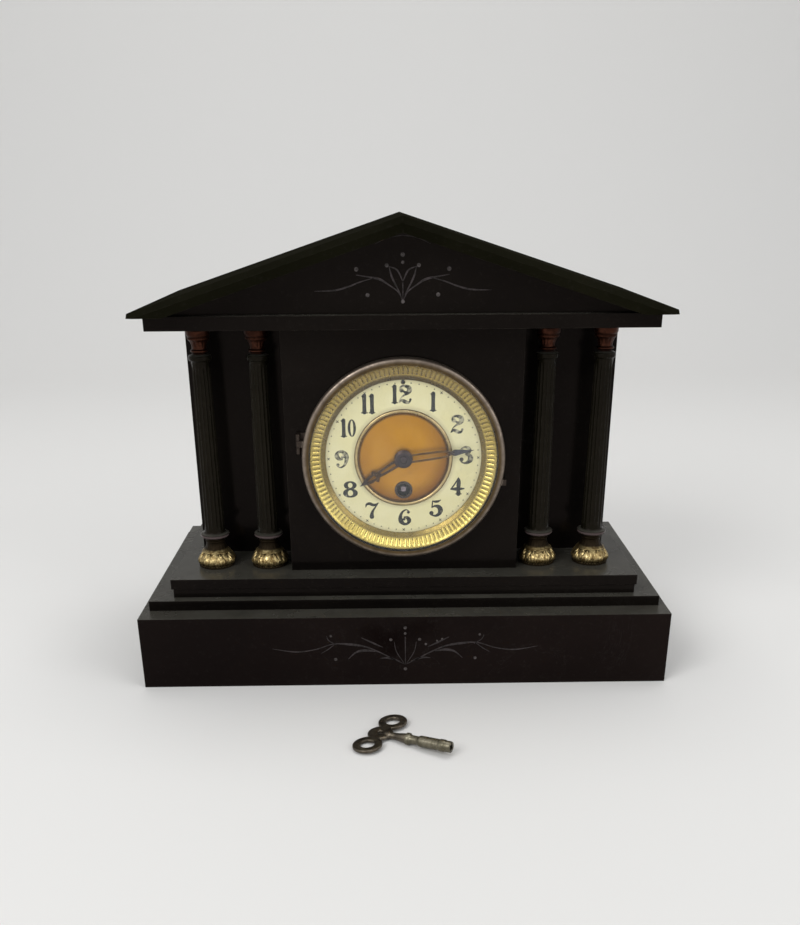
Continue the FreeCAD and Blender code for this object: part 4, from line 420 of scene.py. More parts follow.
# The capitals' dark copper colour also holds painted shade from under the entablature
CAPITAL_BRASS = cast_brass(
    "capital_copper_and_shade", (0.058, 0.019, 0.010), (0.026, 0.008, 0.004), (0.006, 0.003, 0.002),
    3.0, 0.3,
)
RIM_BRASS = rim_brass()
ARBOR_STEEL = arbor_steel()
BACK_BRASS = cast_brass(
    "back_brass", (0.62, 0.46, 0.2), (0.42, 0.3, 0.12), (0.08, 0.055, 0.025), 1.6, 0.3
)
CLOCK_BRASS = machined("movement_brass", (0.78, 0.58, 0.26), (0.58, 0.41, 0.17))
CLOCK_STEEL = machined("movement_steel", (0.52, 0.52, 0.53), (0.36, 0.35, 0.35), 0.24)
ENAMEL = enamel()
PRINTED = printed("printed_black", 0.6, 0.72)
RUBBED = printed("printed_rubbed", 0.44, 0.6)
CENTRE = centre_brass()
GILT = gilt()
BLUED = blued("hand_steel", (0.038, 0.017, 0.006), (0.105, 0.048, 0.010), (0.050, 0.052, 0.060))
# The minute hand's brown near its axis is partly painted reflection of the brass centre; further
# out it turns grey-blue
BROWN_STEEL_AND_BRASS_REFLECTION = blued(
    "brown_steel_and_brass_reflection", (0.095, 0.046, 0.009), (0.155, 0.080, 0.017), (0.060, 0.062, 0.075)
)
GLAZING = glazing()
INLAY_LINE = inlay("incised_line", (0.044, 0.035, 0.036))
INLAY_DOT = inlay("incised_dot", (0.100, 0.086, 0.084))
KEY_DARK = blued("key_bow_steel", (0.055, 0.045, 0.034), (0.15, 0.127, 0.094))
KEY_PALE = blued("key_barrel_steel", (0.10, 0.09, 0.06), (0.21, 0.19, 0.14))


def dress(material, *names):
    for name in names:
        piece = NODES[name]
        if piece.material_slots:
            for place in piece.material_slots:
                place.material = material
        else:
            piece.data.materials.append(material)


dress(SLATE_WARM, "plinth_front", "plinth_back", "plinth_side_left", "plinth_side_right")
dress(
    SLATE, "step_lower", "step_upper", "dial_slab", "block_side_left", "block_side_right",
    "wing_slab_left", "wing_slab_right", "case_side_left", "case_side_right", "back_slab",
    "entablature_slab", "tympanum_slab", "pediment_back_slab",
)
dress(SLATE_ROOF, "roof_slab_left", "roof_slab_right")
dress(RIM_BRASS, "bezel_ring", "bezel_seat", "hinge_pins")
dress(BACK_BRASS, "back_ring", "back_door")
dress(
    CLOCK_BRASS, "dial_plate", "front_plate", "back_plate", "plate_pillars",
    "mainspring_barrel", "intermediate_wheel", "centre_wheel", "third_wheel", "escape_wheel",
    "minute_wheel", "hour_wheel", "suspension_cock", "rating_block", "pendulum_bob",
)
dress(
    CLOCK_STEEL, "mainspring", "click", "pallet_anchor", "cannon_pinion", "suspension_spring",
    "pendulum_rod", "tie_rods", "tie_screws",
)
dress(ENAMEL, "chapter_ring")
dress(CENTRE, "centre_disc")
dress(GLAZING, "bezel_glass")
dress(BLUED, "hand_nut", "regulator_arbor")
# Arbor and ratchet wheel are painted near black for the shade inside the winding hole
dress(ARBOR_STEEL, "winding_arbor", "ratchet_wheel")


# Mesh helpers
def make(name, verts, faces, material, body, matrix, sharp=40.0):
    """A mesh piece of the object, made in millimetres, that rides on a body."""
    mesh = bpy.data.meshes.new(name)
    mesh.from_pydata([matrix @ Vector(vert) for vert in verts], [], faces)
    work = bmesh.new()
    work.from_mesh(mesh)
    bmesh.ops.remove_doubles(work, verts=work.verts, dist=0.000002)
    bmesh.ops.recalc_face_normals(work, faces=work.faces)
    work.to_mesh(mesh)
    work.free()
    mesh.shade_smooth()
    mesh.set_sharp_from_angle(angle=math.radians(sharp))
    mesh.materials.append(material)
    piece = bpy.data.objects.new(name, mesh)
    bpy.context.scene.collection.objects.link(piece)
    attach(piece, body)
    return piece


def smooth_line(points, count):
    """Points along a Catmull-Rom curve through the given ones."""
    result = []
    last = len(points) - 1
    for index in range(last):
        quad = [points[max(0, min(last, index + shift))] for shift in (-1, 0, 1, 2)]
        for step in range(count):
            t = step / count
            result.append(
                tuple(
                    0.5 * (
                        2 * b + (c - a) * t + (2 * a - 5 * b + 4 * c - d) * t * t
                        + (3 * b - a - 3 * c + d) * t * t * t
                    )
                    for a, b, c, d in zip(*quad)
                )
            )
    result.append(tuple(points[-1]))
    return result


def dense_line(points, step):
    """The corners of a section, with points between them on straight lines."""
    result = []
    for start, end in zip(points, points[1:]):
        count = max(1, math.ceil(math.dist(start, end) / step))
        for index in range(count):
            t = index / count
            result.append(tuple(a + (b - a) * t for a, b in zip(start, end)))
    result.append(tuple(points[-1]))
    return result


def lathe(section, steps, relief=None, closed=False):
    """Vertices and faces of a section of radius and height, turned round the z axis."""
    verts = []
    faces = []
    rows = len(section)
    for step in range(steps):
        angle = 2 * math.pi * step / steps
        for radius, height in section:
            if relief:
                change, rise = relief(angle, radius, height)
                radius = max(0.0, radius + change)
                height = height + rise
            verts.append((radius * math.cos(angle), radius * math.sin(angle), height))
    for step in range(steps):
        here = step * rows
        there = (step + 1) % steps * rows
        for index in range(rows if closed else rows - 1):
            following = (index + 1) % rows
            faces.append((here + index, there + index, there + following, here + following))
    return verts, faces


def merged(parts):
    verts = []
    faces = []
    for part_verts, part_faces in parts:
        offset = len(verts)
        verts += part_verts
        faces += [tuple(index + offset for index in face) for face in part_faces]
    return verts, faces


def moved(part, x, y, z=0.0):
    verts, faces = part
    return [(a + x, b + y, c + z) for a, b, c in verts], faces


# Flat drawing: strokes, dots and ovals, a little raised
def stroke(points, level, height):
    """A line through (x, y, half width) points, with round ends."""
    line = smooth_line(points, 8)
    verts = []
    faces = []
    for index, (x, y, half) in enumerate(line):
        before = line[max(0, index - 1)]
        after = line[min(len(line) - 1, index + 1)]
        along = Vector((after[0] - before[0], after[1] - before[1]))
        along = along.normalized() if along.length else Vector((1, 0))
        side = Vector((-along.y, along.x)) * max(half, 0.01)
        for sign in (1, -1):
            verts.append((x + sign * side.x, y + sign * side.y, level + height))
        for sign in (1, -1):
            verts.append((x + sign * side.x * 1.06, y + sign * side.y * 1.06, level))
    for index in range(len(line) - 1):
        a = 4 * index
        b = a + 4
        faces += [(a, a + 1, b + 1, b), (a + 2, a, b, b + 2), (a + 1, a + 3, b + 3, b + 1)]
    caps = [dot(*line[0], level, height * 0.99), dot(*line[-1], level, height * 0.98)]
    return merged([(verts, faces)] + caps)


def dot(x, y, radius, level, height, sides=16):
    rim = oval(x, y, radius, radius, sides)
    verts = [(a, b, level + top) for top in (0.0, height) for a, b in rim]
    faces = [tuple(range(sides, 2 * sides))]
    for side in range(sides):
        after = (side + 1) % sides
        faces.append((side, after, after + sides, side + sides))
    return verts, faces


def outline_ring(corners, inner, level, height):
    """A closed band between two outlines with as many corners."""
    verts = []
    count = len(corners)
    for top in (0.0, height):
        for ring in (corners, inner):
            verts += [(x, y, level + top) for x, y in ring]
    faces = []
    for index in range(count):
        after = (index + 1) % count
        outer_low, inner_low = index, count + index
        outer_top, inner_top = 2 * count + index, 3 * count + index
        next_outer, next_inner = 2 * count + after, 3 * count + after
        faces.append((outer_top, next_outer, next_inner, inner_top))
        faces.append((outer_low, after, next_outer, outer_top))
        faces.append((inner_low, inner_top, next_inner, count + after))
    return verts, faces


def oval(x, y, wide, tall, sides=24):
    return [
        (
            x + wide * math.cos(2 * math.pi * side / sides),
            y + tall * math.sin(2 * math.pi * side / sides),
        )
        for side in range(sides)
    ]


# Columns
COLUMN_PLACES = (-132.7, -95.0, 95.0, 132.7)
COLUMN_Y = -18.5
SHAFT_RISE = 20.3
CAPITAL_RISE = 146.6


def on_columns(part, rise):
    """The same form at all four columns, that far above the deck."""
    return merged([moved(part, x, COLUMN_Y, DECK + rise) for x in COLUMN_PLACES])


def flutes(count, depth, low, high, fade):
    """Hollow flutes round a shaft, dying out towards both ends."""

    def relief(angle, radius, height):
        ends = min(1.0, max(0.0, (height - low) / fade), max(0.0, (high - height) / fade))
        hollow = abs(math.sin(angle * count / 2)) ** 0.6
        return -depth * hollow * math.sqrt(ends), 0.0

    return relief


def column_shafts():
    section = [(0.0, 0.0), (6.3, 0.0)]
    section += smooth_line([(6.3, 0.0), (8.0, 0.55), (9.3, 1.1), (9.9, 1.9)], 4)
    section += smooth_line([(9.95, 2.4), (9.9, 3.1), (9.3, 3.5), (8.2, 3.7), (7.35, 4.4)], 5)
    section += dense_line([(7.2, 5.2), (6.0, 121.4)], 2.0)
    section += smooth_line([(6.2, 121.8), (7.1, 122.2), (7.45, 123.2), (7.4, 124.6)], 4)
    section += smooth_line([(7.2, 125.2), (6.4, 125.6), (4.7, 126.2)], 4) + [(0.0, 126.2)]
    part = lathe(section, 192, flutes(16, 0.62, 6.0, 119.5, 5.0))
    whole = on_columns(part, SHAFT_RISE)
    piece = make("column_shafts_fluted", *whole, SLATE_COLUMN, "case", WORLD, 50.0)
    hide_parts("column_shafts")


LEAVES = 8
BEADS = 40
LEAF_FOOT = 1.8
LEAF_TALL = 8.6


def leaf_relief(angle, radius, height):
    """Two rows of leaves on a column base, and beads on its foot."""
    change = 0.0
    level = (height - LEAF_FOOT) / LEAF_TALL
    if 0.0 < level < 1.0:
        turn = (angle * LEAVES / (2 * math.pi)) % 1.0 - 0.5
        width = 0.46 * math.cos(level * math.pi / 2) ** 0.7 + 0.02
        inside = 1.0 - min(1.0, abs(turn) / width)
        rib = 0.25 * math.cos(abs(turn) * 34 - level * 6)
        change = min(1.0, inside * 2.4) * (0.8 + rib) - 0.85
        if abs(turn) < 0.035:
            change += 0.25
        back = ((turn + 1.0) % 1.0) - 0.5
        behind = 1.0 - min(1.0, abs(back) / 0.3)
        if inside <= 0.05:
            change += 0.45 * min(1.0, behind * 2) * (level > 0.35)
    elif 0.3 < height < 1.5:
        change = 0.22 * (math.cos(angle * BEADS) - 1)
    elif 12.5 < height < 16.5:
        change = -0.25 * (1 - abs(math.cos(angle * LEAVES)) ** 0.5)
    return change, 0.0


def column_bases():
    section = [(0.0, 0.0), (12.2, 0.0)]
    section += dense_line([(12.35, 0.15), (12.45, 0.8), (12.3, 1.5)], 0.35)
    curve = [(11.9, 1.7), (12.7, 3.0), (12.95, 4.6), (12.5, 6.4), (11.3, 8.3), (9.9, 9.7)]
    section += smooth_line(curve, 7)
    section += smooth_line([(9.7, 10.3), (9.95, 10.7), (9.4, 11.2)], 4)
    section += smooth_line([(8.7, 11.8), (7.5, 13.4), (6.7, 15.4), (6.35, 17.2)], 5)
    section += smooth_line([(6.6, 17.6), (6.95, 18.2), (6.6, 18.8), (6.2, 19.1)], 4)
    section += [(6.25, 20.1), (0.0, 20.1)]
    part = lathe(section, 256, leaf_relief)
    piece = make("column_bases_cast", *on_columns(part, 0.0), BASE_BRASS, "case", WORLD, 60.0)
    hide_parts("column_bases")


def column_capitals():
    def relief(angle, radius, height):
        if 4.4 < height < 9.0:
            return -0.35 * (1 - abs(math.cos(angle * 6)) ** 0.6), 0.0
        if 9.5 < height < 10.5:
            return 0.12 * math.cos(angle * 36) - 0.12, 0.0
        return 0.0, 0.0

    section = [(0.0, 0.0), (4.6, 0.0)]
    section += smooth_line([(4.6, 0.2), (4.9, 0.9), (5.75, 1.5), (5.7, 2.4), (4.7, 3.0)], 4)
    section += smooth_line([(4.65, 3.6), (4.9, 5.6), (5.7, 7.6), (7.0, 9.2)], 6)
    section += smooth_line([(7.2, 9.5), (7.35, 10.0), (7.2, 10.5), (7.0, 10.7)], 3)
    section += smooth_line([(7.0, 10.9), (7.55, 11.6), (7.85, 12.4)], 3)
    section += [(7.9, 13.0), (7.9, 14.9), (7.6, 15.1), (7.6, 15.6), (7.85, 15.8), (7.85, 17.95)]
    section += [(0.0, 17.95)]
    part = lathe(section, 144, relief)
    whole = on_columns(part, CAPITAL_RISE)
    piece = make("column_capitals_cast", *whole, CAPITAL_BRASS, "case", WORLD, 50.0)
    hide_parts("column_capitals")


# Dial
RING_FLUTES = 120
FLUTE_START = 55.6
FLUTE_END = 61.2
FLUTE_FADE = 0.7
FLUTE_DEPTH = 0.62


def sight_ring():
    """The gilded ring between the bezel and the dial, with hollow flutes all round."""

    def relief(angle, radius, height):
        edge = min(1.0, (radius - FLUTE_START) / FLUTE_FADE, (FLUTE_END - radius) / FLUTE_FADE)
        hollow = 1.0 - abs(math.sin(angle * RING_FLUTES / 2)) ** 0.7
        return 0.0, -FLUTE_DEPTH * hollow * max(0.0, edge)

    section = [(62.45, 1.3), (62.45, 4.5)]
    section += smooth_line([(62.2, 4.58), (61.9, 4.5), (61.65, 4.2)], 2)
    section += dense_line([(61.6, 4.05), (54.2, 0.1)], 0.5)
    section += dense_line([(54.1, 0.0), (52.7, -1.0)], 0.5)
    section += smooth_line([(52.5, -1.15), (52.25, -1.35), (52.2, -1.6)], 2)
    section += [(52.2, -1.9)]
    whole = lathe(section, RING_FLUTES * 8, relief)
    piece = make("sight_ring_fluted", *whole, GILT, "case", DIAL, 60.0)
    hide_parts("sight_ring")


ENAMEL_FACE = -2.0
INK_HEIGHT = 0.05


# One unit high and centred on x = 0: strokes through (x, y, half width) points, dots as
# (x, y, radius), ovals as (x, y, half width, half height, inner half height)
DIGITS = {
    "1": [
        ("stroke", [(0.0, 0.05, 0.085), (0.0, 0.5, 0.075), (0.0, 0.95, 0.085)]),
        ("stroke", [(-0.15, 0.93, 0.015), (-0.06, 0.9, 0.05), (0.0, 0.86, 0.06)]),
        ("stroke", [(-0.15, 0.03, 0.025), (0.15, 0.03, 0.025)]),
    ],
    "2": [
        ("dot", [(-0.17, 0.72, 0.095)]),
        ("stroke", [
            (-0.26, 0.74, 0.03), (-0.22, 0.9, 0.04), (-0.04, 0.97, 0.05),
            (0.18, 0.9, 0.085), (0.25, 0.74, 0.11), (0.16, 0.58, 0.08),
            (-0.02, 0.46, 0.04), (-0.2, 0.3, 0.02), (-0.28, 0.1, 0.025),
        ]),
        ("stroke", [(-0.12, 0.72, 0.03), (0.0, 0.62, 0.05), (0.12, 0.6, 0.05)]),
        ("stroke", [
            (-0.3, 0.05, 0.03), (-0.16, 0.16, 0.06), (0.02, 0.08, 0.08),
            (0.18, 0.04, 0.06), (0.28, 0.12, 0.04), (0.33, 0.24, 0.02),
        ]),
        ("dot", [(0.3, 0.2, 0.055)]),
    ],
    "3": [
        ("dot", [(-0.19, 0.78, 0.085)]),
        ("stroke", [
            (-0.22, 0.86, 0.03), (-0.05, 0.97, 0.04), (0.16, 0.88, 0.08),
            (0.17, 0.68, 0.08), (0.0, 0.56, 0.04),
        ]),
        ("stroke", [
            (0.0, 0.56, 0.04), (0.2, 0.46, 0.09), (0.25, 0.25, 0.12),
            (0.1, 0.06, 0.07), (-0.1, 0.04, 0.04), (-0.24, 0.16, 0.03),
        ]),
        ("dot", [(-0.2, 0.24, 0.095)]),
    ],
    "4": [
        ("stroke", [
            (0.06, 1.0, 0.01), (0.07, 0.78, 0.08), (0.06, 0.5, 0.09),
            (0.06, 0.3, 0.06), (0.06, 0.12, 0.09), (0.06, 0.0, 0.1),
        ]),
        ("stroke", [(0.03, 0.95, 0.02), (-0.14, 0.62, 0.03), (-0.34, 0.32, 0.03)]),
        ("stroke", [(-0.36, 0.3, 0.035), (0.0, 0.3, 0.08), (0.36, 0.32, 0.03)]),
        ("stroke", [(-0.1, 0.0, 0.02), (0.22, 0.0, 0.02)]),
    ],
    "5": [
        ("stroke", [
            (-0.13, 0.94, 0.02), (0.0, 0.9, 0.055), (0.14, 0.92, 0.05), (0.25, 1.0, 0.02),
        ]),
        ("stroke", [(-0.13, 0.94, 0.025), (-0.14, 0.74, 0.03), (-0.16, 0.54, 0.025)]),
        ("stroke", [
            (-0.16, 0.54, 0.02), (-0.02, 0.63, 0.05), (0.16, 0.58, 0.09),
            (0.25, 0.38, 0.11), (0.18, 0.14, 0.08), (0.0, 0.03, 0.05), (-0.2, 0.1, 0.03),
        ]),
        ("dot", [(-0.18, 0.2, 0.1)]),
    ],
    "6": [
        ("dot", [(0.18, 0.82, 0.075)]),
        ("stroke", [
            (0.2, 0.9, 0.02), (0.06, 0.98, 0.03), (-0.12, 0.84, 0.05),
            (-0.22, 0.55, 0.08), (-0.2, 0.25, 0.11), (-0.04, 0.05, 0.07),
            (0.14, 0.08, 0.06), (0.22, 0.28, 0.1), (0.12, 0.46, 0.08), (-0.04, 0.5, 0.03),
        ]),
        ("dot", [(-0.04, 0.36, 0.07)]),
    ],
    "7": [
        ("stroke", [
            (-0.3, 0.72, 0.02), (-0.26, 0.88, 0.05), (-0.12, 0.94, 0.07),
            (0.02, 0.86, 0.07), (0.16, 0.86, 0.06), (0.3, 0.98, 0.02),
        ]),
        ("stroke", [
            (0.29, 0.96, 0.02), (0.14, 0.68, 0.035), (0.02, 0.42, 0.06),
            (-0.02, 0.2, 0.09), (-0.02, 0.08, 0.11),
        ]),
    ],
    "8": [
        ("oval", [(0.0, 0.75, 0.26, 0.25, 0.155), (0.0, 0.28, 0.30, 0.28, 0.175)]),
    ],
    "0": [
        ("oval", [(0.0, 0.5, 0.21, 0.5, 0.44)]),
    ],
}
DIGITS["9"] = [
    (form, [(-x, 1.0 - y, size) for x, y, size in items]) for form, items in DIGITS["6"]
]
FIGURE_WIDTHS = {
    "0": 1.12, "1": 1.0, "2": 1.06, "3": 1.15, "4": 1.05, "5": 1.24, "6": 1.24, "7": 1.32,
    "8": 1.45, "9": 1.24,
}
BOLDNESS = 1.28
OVAL_HOLLOW = 0.36


def figure(kind, x, y, tall):
    """One figure of the dial, x and y at its middle."""
    parts = []
    wide = tall * FIGURE_WIDTHS[kind]
    bold = tall * BOLDNESS
    for form, items in DIGITS[kind]:
        placed = [
            (x + item[0] * wide, y + (item[1] - 0.5) * tall) + tuple(item[2:]) for item in items
        ]
        if form == "stroke":
            line = [(a, b, half * bold) for a, b, half in placed]
            parts.append(stroke(line, ENAMEL_FACE, INK_HEIGHT))
        elif form == "dot":
            parts += [
                dot(a, b, radius * bold, ENAMEL_FACE, INK_HEIGHT * 1.02)
                for a, b, radius in placed
            ]
        else:
            for a, b, half, outer, inner in placed:
                rim = oval(a, b, half * wide, outer * tall)
                hole = oval(a, b, half * wide * OVAL_HOLLOW, inner * tall)
                parts.append(outline_ring(rim, hole, ENAMEL_FACE, INK_HEIGHT))
    return parts


# The figures are printed a little turned and off the middle
FIGURE_TURN = 1.5
FIGURE_SHIFT = (-0.35, 0.75)
FIGURE_CIRCLE = 42.0
FIGURE_TALL = 11.6
# Of each hour: its figures, each with a shift to the right and its share of the usual height
HOURS = (
    (("1", 0.0, 1.04),), (("2", 0.0, 1.0),), (("3", 0.0, 1.0),), (("4", 0.0, 1.0),),
    (("5", 0.0, 1.0),), (("6", 0.0, 0.94),), (("7", -1.2, 0.94),), (("8", 0.0, 1.0),),
    (("9", 0.9, 1.0),), (("1", -2.2, 1.0), ("0", 3.2, 1.0)),
    (("1", -3.2, 1.05), ("1", 1.8, 1.05)), (("1", -4.1, 1.0), ("2", 2.5, 1.0)),
)
RUBBED_FIGURES = ("2", "3", "9")
# The minute dots, and the stars of five dots at the hours
MINUTE_CIRCLE = 50.2
MINUTE_RADIUS = 0.4
STAR_RADIUS = 0.5
RAY_RADIUS = 0.28
RAY_SHIFT = 0.85


def numerals():
    parts = []
    rubbed_and_highlight = []
    for hour, figures in enumerate(HOURS, 1):
        angle = math.radians(90 + FIGURE_TURN - 30 * hour)
        x = FIGURE_SHIFT[0] + FIGURE_CIRCLE * math.cos(angle)
        y = FIGURE_SHIFT[1] + FIGURE_CIRCLE * math.sin(angle)
        for kind, shift, share in figures:
            group = rubbed_and_highlight if kind in RUBBED_FIGURES else parts
            group.extend(figure(kind, x + shift, y, FIGURE_TALL * share))
    for minute in range(60):
        angle = math.radians(6 * minute)
        x = MINUTE_CIRCLE * math.cos(angle)
        y = MINUTE_CIRCLE * math.sin(angle)
        if minute == 15:
            # The regulator's hole takes the place of the star at the top
            continue
        if minute % 5 == 0:
            parts.append(dot(x, y, STAR_RADIUS, ENAMEL_FACE, INK_HEIGHT))
            for turn in range(4):
                away = math.radians(45 + 90 * turn)
                ray_x = x + RAY_SHIFT * math.cos(away)
                ray_y = y + RAY_SHIFT * math.sin(away)
                parts.append(dot(ray_x, ray_y, RAY_RADIUS, ENAMEL_FACE, INK_HEIGHT, 8))
        else:
            parts.append(dot(x, y, MINUTE_RADIUS, ENAMEL_FACE, INK_HEIGHT, 10))
    make("dial_figures", *merged(parts), PRINTED, "case", DIAL)
    make("dial_figures_rubbed", *merged(rubbed_and_highlight), RUBBED, "case", DIAL)


def solid_plate(outline, holes, low, high):
    """A flat piece with holes, as vertices and faces, from outlines of points."""
    work = bmesh.new()
    edges = []
    for ring in [outline] + holes:
        verts = [work.verts.new((x, y, 0.0)) for x, y in ring]
        edges += [work.edges.new((a, b)) for a, b in zip(verts, verts[1:] + verts[:1])]
    bmesh.ops.triangle_fill(work, use_beauty=True, use_dissolve=False, edges=edges)
    work.verts.index_update()
    flat = [tuple(vert.co) for vert in work.verts]
    faces = [tuple(vert.index for vert in face.verts) for face in work.faces]
    rims = [edge for edge in work.edges if len(edge.link_faces) == 1]
    walls = [tuple(vert.index for vert in edge.verts) for edge in rims]
    work.free()
    count = len(flat)
    verts = [(x, y, low) for x, y, _ in flat] + [(x, y, high) for x, y, _ in flat]
    result = list(faces) + [tuple(index + count for index in face) for face in faces]
    result += [(a, b, b + count, a + count) for a, b in walls]
    return verts, result


# Degrees clockwise from the top of the dial
HOUR_DIRECTION = 238.0
MINUTE_DIRECTION = 82.5


def hand_matrix(direction):
    return DIAL @ Matrix.Rotation(-math.radians(direction), 4, "Z")


def mirrored(half):
    """A closed outline from its right half, bottom to top."""
    return half + [(-x, y) for x, y in reversed(half) if abs(x) > 1e-6]


def minute_hand():
    half = [(2.9, 4.2), (2.95, 12.0), (2.75, 24.0), (2.3, 29.4), (1.3, 31.6), (1.25, 32.4)]
    half += smooth_line([(1.25, 32.6), (2.1, 34.4), (1.75, 37.0), (1.1, 41.0), (0.0, 47.5)], 6)
    slot = mirrored([(1.6, 5.6), (1.6, 12.0), (1.4, 24.0), (1.0, 28.4), (0.4, 29.8)])
    blade = solid_plate(mirrored(half), [slot], 1.7, 2.3)
    boss = lathe(
        [(1.75, 1.6), (5.4, 1.6), (5.4, 1.95), (4.9, 2.35), (3.9, 2.55), (2.6, 2.6), (1.75, 2.6)],
        64, closed=True,
    )
    piece = make(
        "minute_hand_pierced", *merged([blade, boss]), BROWN_STEEL_AND_BRASS_REFLECTION, "minute_train",
        hand_matrix(MINUTE_DIRECTION), 30.0,
    )
    tip = lathe([(1.5, 3.8), (1.5, 3.95), (1.1, 4.12), (0.0, 4.2)], 32)
    make("centre_arbor_tip", *tip, BLUED, "minute_train", DIAL)
    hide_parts("minute_hand")


def hour_hand():
    half = [(2.6, 4.8), (2.6, 9.0), (2.35, 16.0), (2.0, 19.4)]
    half += smooth_line([(2.0, 20.0), (3.2, 21.0), (4.3, 22.3), (3.7, 23.2), (2.5, 23.9)], 4)
    half += smooth_line([(2.4, 24.2), (2.8, 26.0), (2.1, 28.8), (1.1, 31.5), (0.0, 34.8)], 5)
    slot = mirrored([(0.95, 6.6), (0.95, 9.0), (0.8, 15.5), (0.5, 18.0)])
    leaf = mirrored([(0.01, 21.6), (1.1, 23.2), (0.8, 26.0), (0.01, 29.0)])
    blade = solid_plate(mirrored(half), [slot, leaf], 0.3, 0.9)
    boss = lathe(
        [(2.65, 0.2), (6.2, 0.2), (6.2, 0.6), (5.7, 1.0), (4.7, 1.2), (2.65, 1.2)], 64, closed=True
    )
    piece = make(
        "hour_hand_pierced", *merged([blade, boss]), BLUED, "hour_train",
        hand_matrix(HOUR_DIRECTION), 30.0,
    )
    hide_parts("hour_hand")


# Incised ornament
PLINTH_FRONT = -70.0
GABLE_FRONT = -41.4
LINE_HEIGHT = 0.06


def flipped(points):
    return [(-x, y, size) for x, y, size in points]


def drawing(name, stem, sprays, dots, y):
    """Lines and dots on a face that looks to the front, the sprays on both sides of the stem."""
    strokes = [stem]
    for spray in sprays:
        strokes += [spray, flipped(spray)]
    face = WORLD @ Matrix.Translation((0, y, 0)) @ Matrix.Rotation(math.pi / 2, 4, "X")
    lines = [stroke(points, 0.0, LINE_HEIGHT) for points in strokes]
    marks = [dot(a, b, radius, 0.0, LINE_HEIGHT, sides=20) for a, b, radius in dots]
    for kind, parts, material in (("lines", lines, INLAY_LINE), ("dots", marks, INLAY_DOT)):
        piece = make(f"{name}_{kind}", *merged(parts), material, "case", face)


def plinth_ornament():
    stem = [(0.0, 36.0, 0.35), (0.0, 26.0, 0.28), (0.0, 15.5, 0.2)]
    sprays = (
        [(90.5, 28.3, 0.12), (75.0, 25.8, 0.45), (61.5, 27.4, 0.3), (49.0, 31.4, 0.35),
         (37.0, 30.9, 0.8), (27.0, 29.0, 0.5), (17.2, 24.6, 0.4), (9.0, 20.0, 0.35),
         (0.6, 15.6, 0.15)],
        [(20.5, 25.4, 0.25), (27.0, 26.3, 0.85), (33.5, 25.0, 0.6), (39.0, 20.0, 0.15)],
        [(15.5, 28.6, 0.2), (22.0, 31.8, 0.6), (29.6, 35.8, 0.2)],
        [(47.0, 30.8, 0.2), (52.0, 34.0, 0.3), (53.4, 37.4, 0.15)],
        [(48.5, 30.8, 0.2), (53.0, 27.2, 0.3), (57.5, 24.4, 0.12)],
        [(1.0, 16.4, 0.15), (6.0, 25.0, 0.3), (7.5, 32.5, 0.12)],
        [(4.0, 18.0, 0.2), (11.0, 20.4, 0.7), (17.0, 20.2, 0.2)],
    )
    dots = ((0.0, 43.0, 1.15), (0.0, 38.8, 0.95), (0.0, 11.9, 1.2))
    pairs = ((9.8, 34.2, 1.05), (14.0, 30.6, 0.85), (50.6, 37.4, 0.85), (47.8, 19.8, 1.1),
             (21.6, 33.0, 0.7), (25.1, 34.4, 0.7))
    dots += pairs + tuple(flipped(pairs[:1] + pairs[2:4]))
    drawing("plinth_ornament", stem, sprays, dots, PLINTH_FRONT)


def gable_ornament():
    stem = [(0.0, 263.0, 0.35), (0.0, 258.0, 0.3), (0.0, 253.0, 0.2)]
    sprays = (
        [(54.5, 258.3, 0.12), (42.0, 258.7, 0.5), (33.0, 261.0, 0.45), (26.0, 263.6, 0.35),
         (17.0, 266.0, 0.15)],
        [(28.5, 267.6, 0.2), (20.0, 266.2, 0.45), (13.8, 264.8, 0.7), (8.5, 261.6, 0.4),
         (3.0, 257.6, 0.35), (0.4, 252.9, 0.15)],
        [(8.4, 272.4, 0.15), (6.6, 266.0, 0.55), (1.4, 256.0, 0.25)],
        [(8.4, 272.4, 0.15), (3.4, 270.2, 0.5), (0.2, 264.0, 0.25)],
        [(17.0, 285.2, 0.1), (9.0, 288.8, 0.28), (0.0, 290.2, 0.3)],
    )
    dots = ((0.0, 279.2, 1.3), (0.0, 274.8, 1.0), (0.0, 251.8, 1.15))
    pairs = ((9.8, 273.1, 1.2), (28.4, 270.9, 1.3), (21.8, 255.8, 1.25))
    dots += pairs + tuple(flipped(pairs))
    drawing("gable_ornament", stem, sprays, dots, GABLE_FRONT)


# Winding key, drawn with x from the bow to the barrel. It rests on the far edge of its bow
# and on the first collar of its barrel.
BOW_HALF = 1.2
BOW_REACH = 9.4
KEY_TILT = math.atan2(2.7, 29.2)
KEY_RISE = BOW_HALF * math.cos(KEY_TILT) + BOW_REACH * math.sin(KEY_TILT)
KEY = (
    WORLD @ Matrix.Translation((-17.1, -139.0, KEY_RISE))
    @ Matrix.Rotation(math.radians(-30.1), 4, "Z") @ Matrix.Rotation(-KEY_TILT, 4, "Y")
)
ALONG_X = Matrix.Rotation(math.pi / 2, 4, "Y")


KEY_BORE = 2.55
SQUARE_HALF = 1.75


def turned_along_x(part):
    verts, faces = part
    return [tuple(ALONG_X @ Vector(vert)) for vert in verts], faces


def bow_ring(middle, half):
    """A flat ring with soft corners, from its middle radius and half width."""
    section = []
    for across, up in oval(0.0, 0.0, 1.0, 1.0, 16):
        across, up = (math.copysign(abs(part) ** 0.5, part) for part in (across, up))
        section.append((middle + half * across, (BOW_HALF - 0.01) * up))
    return lathe(section, 64, closed=True)


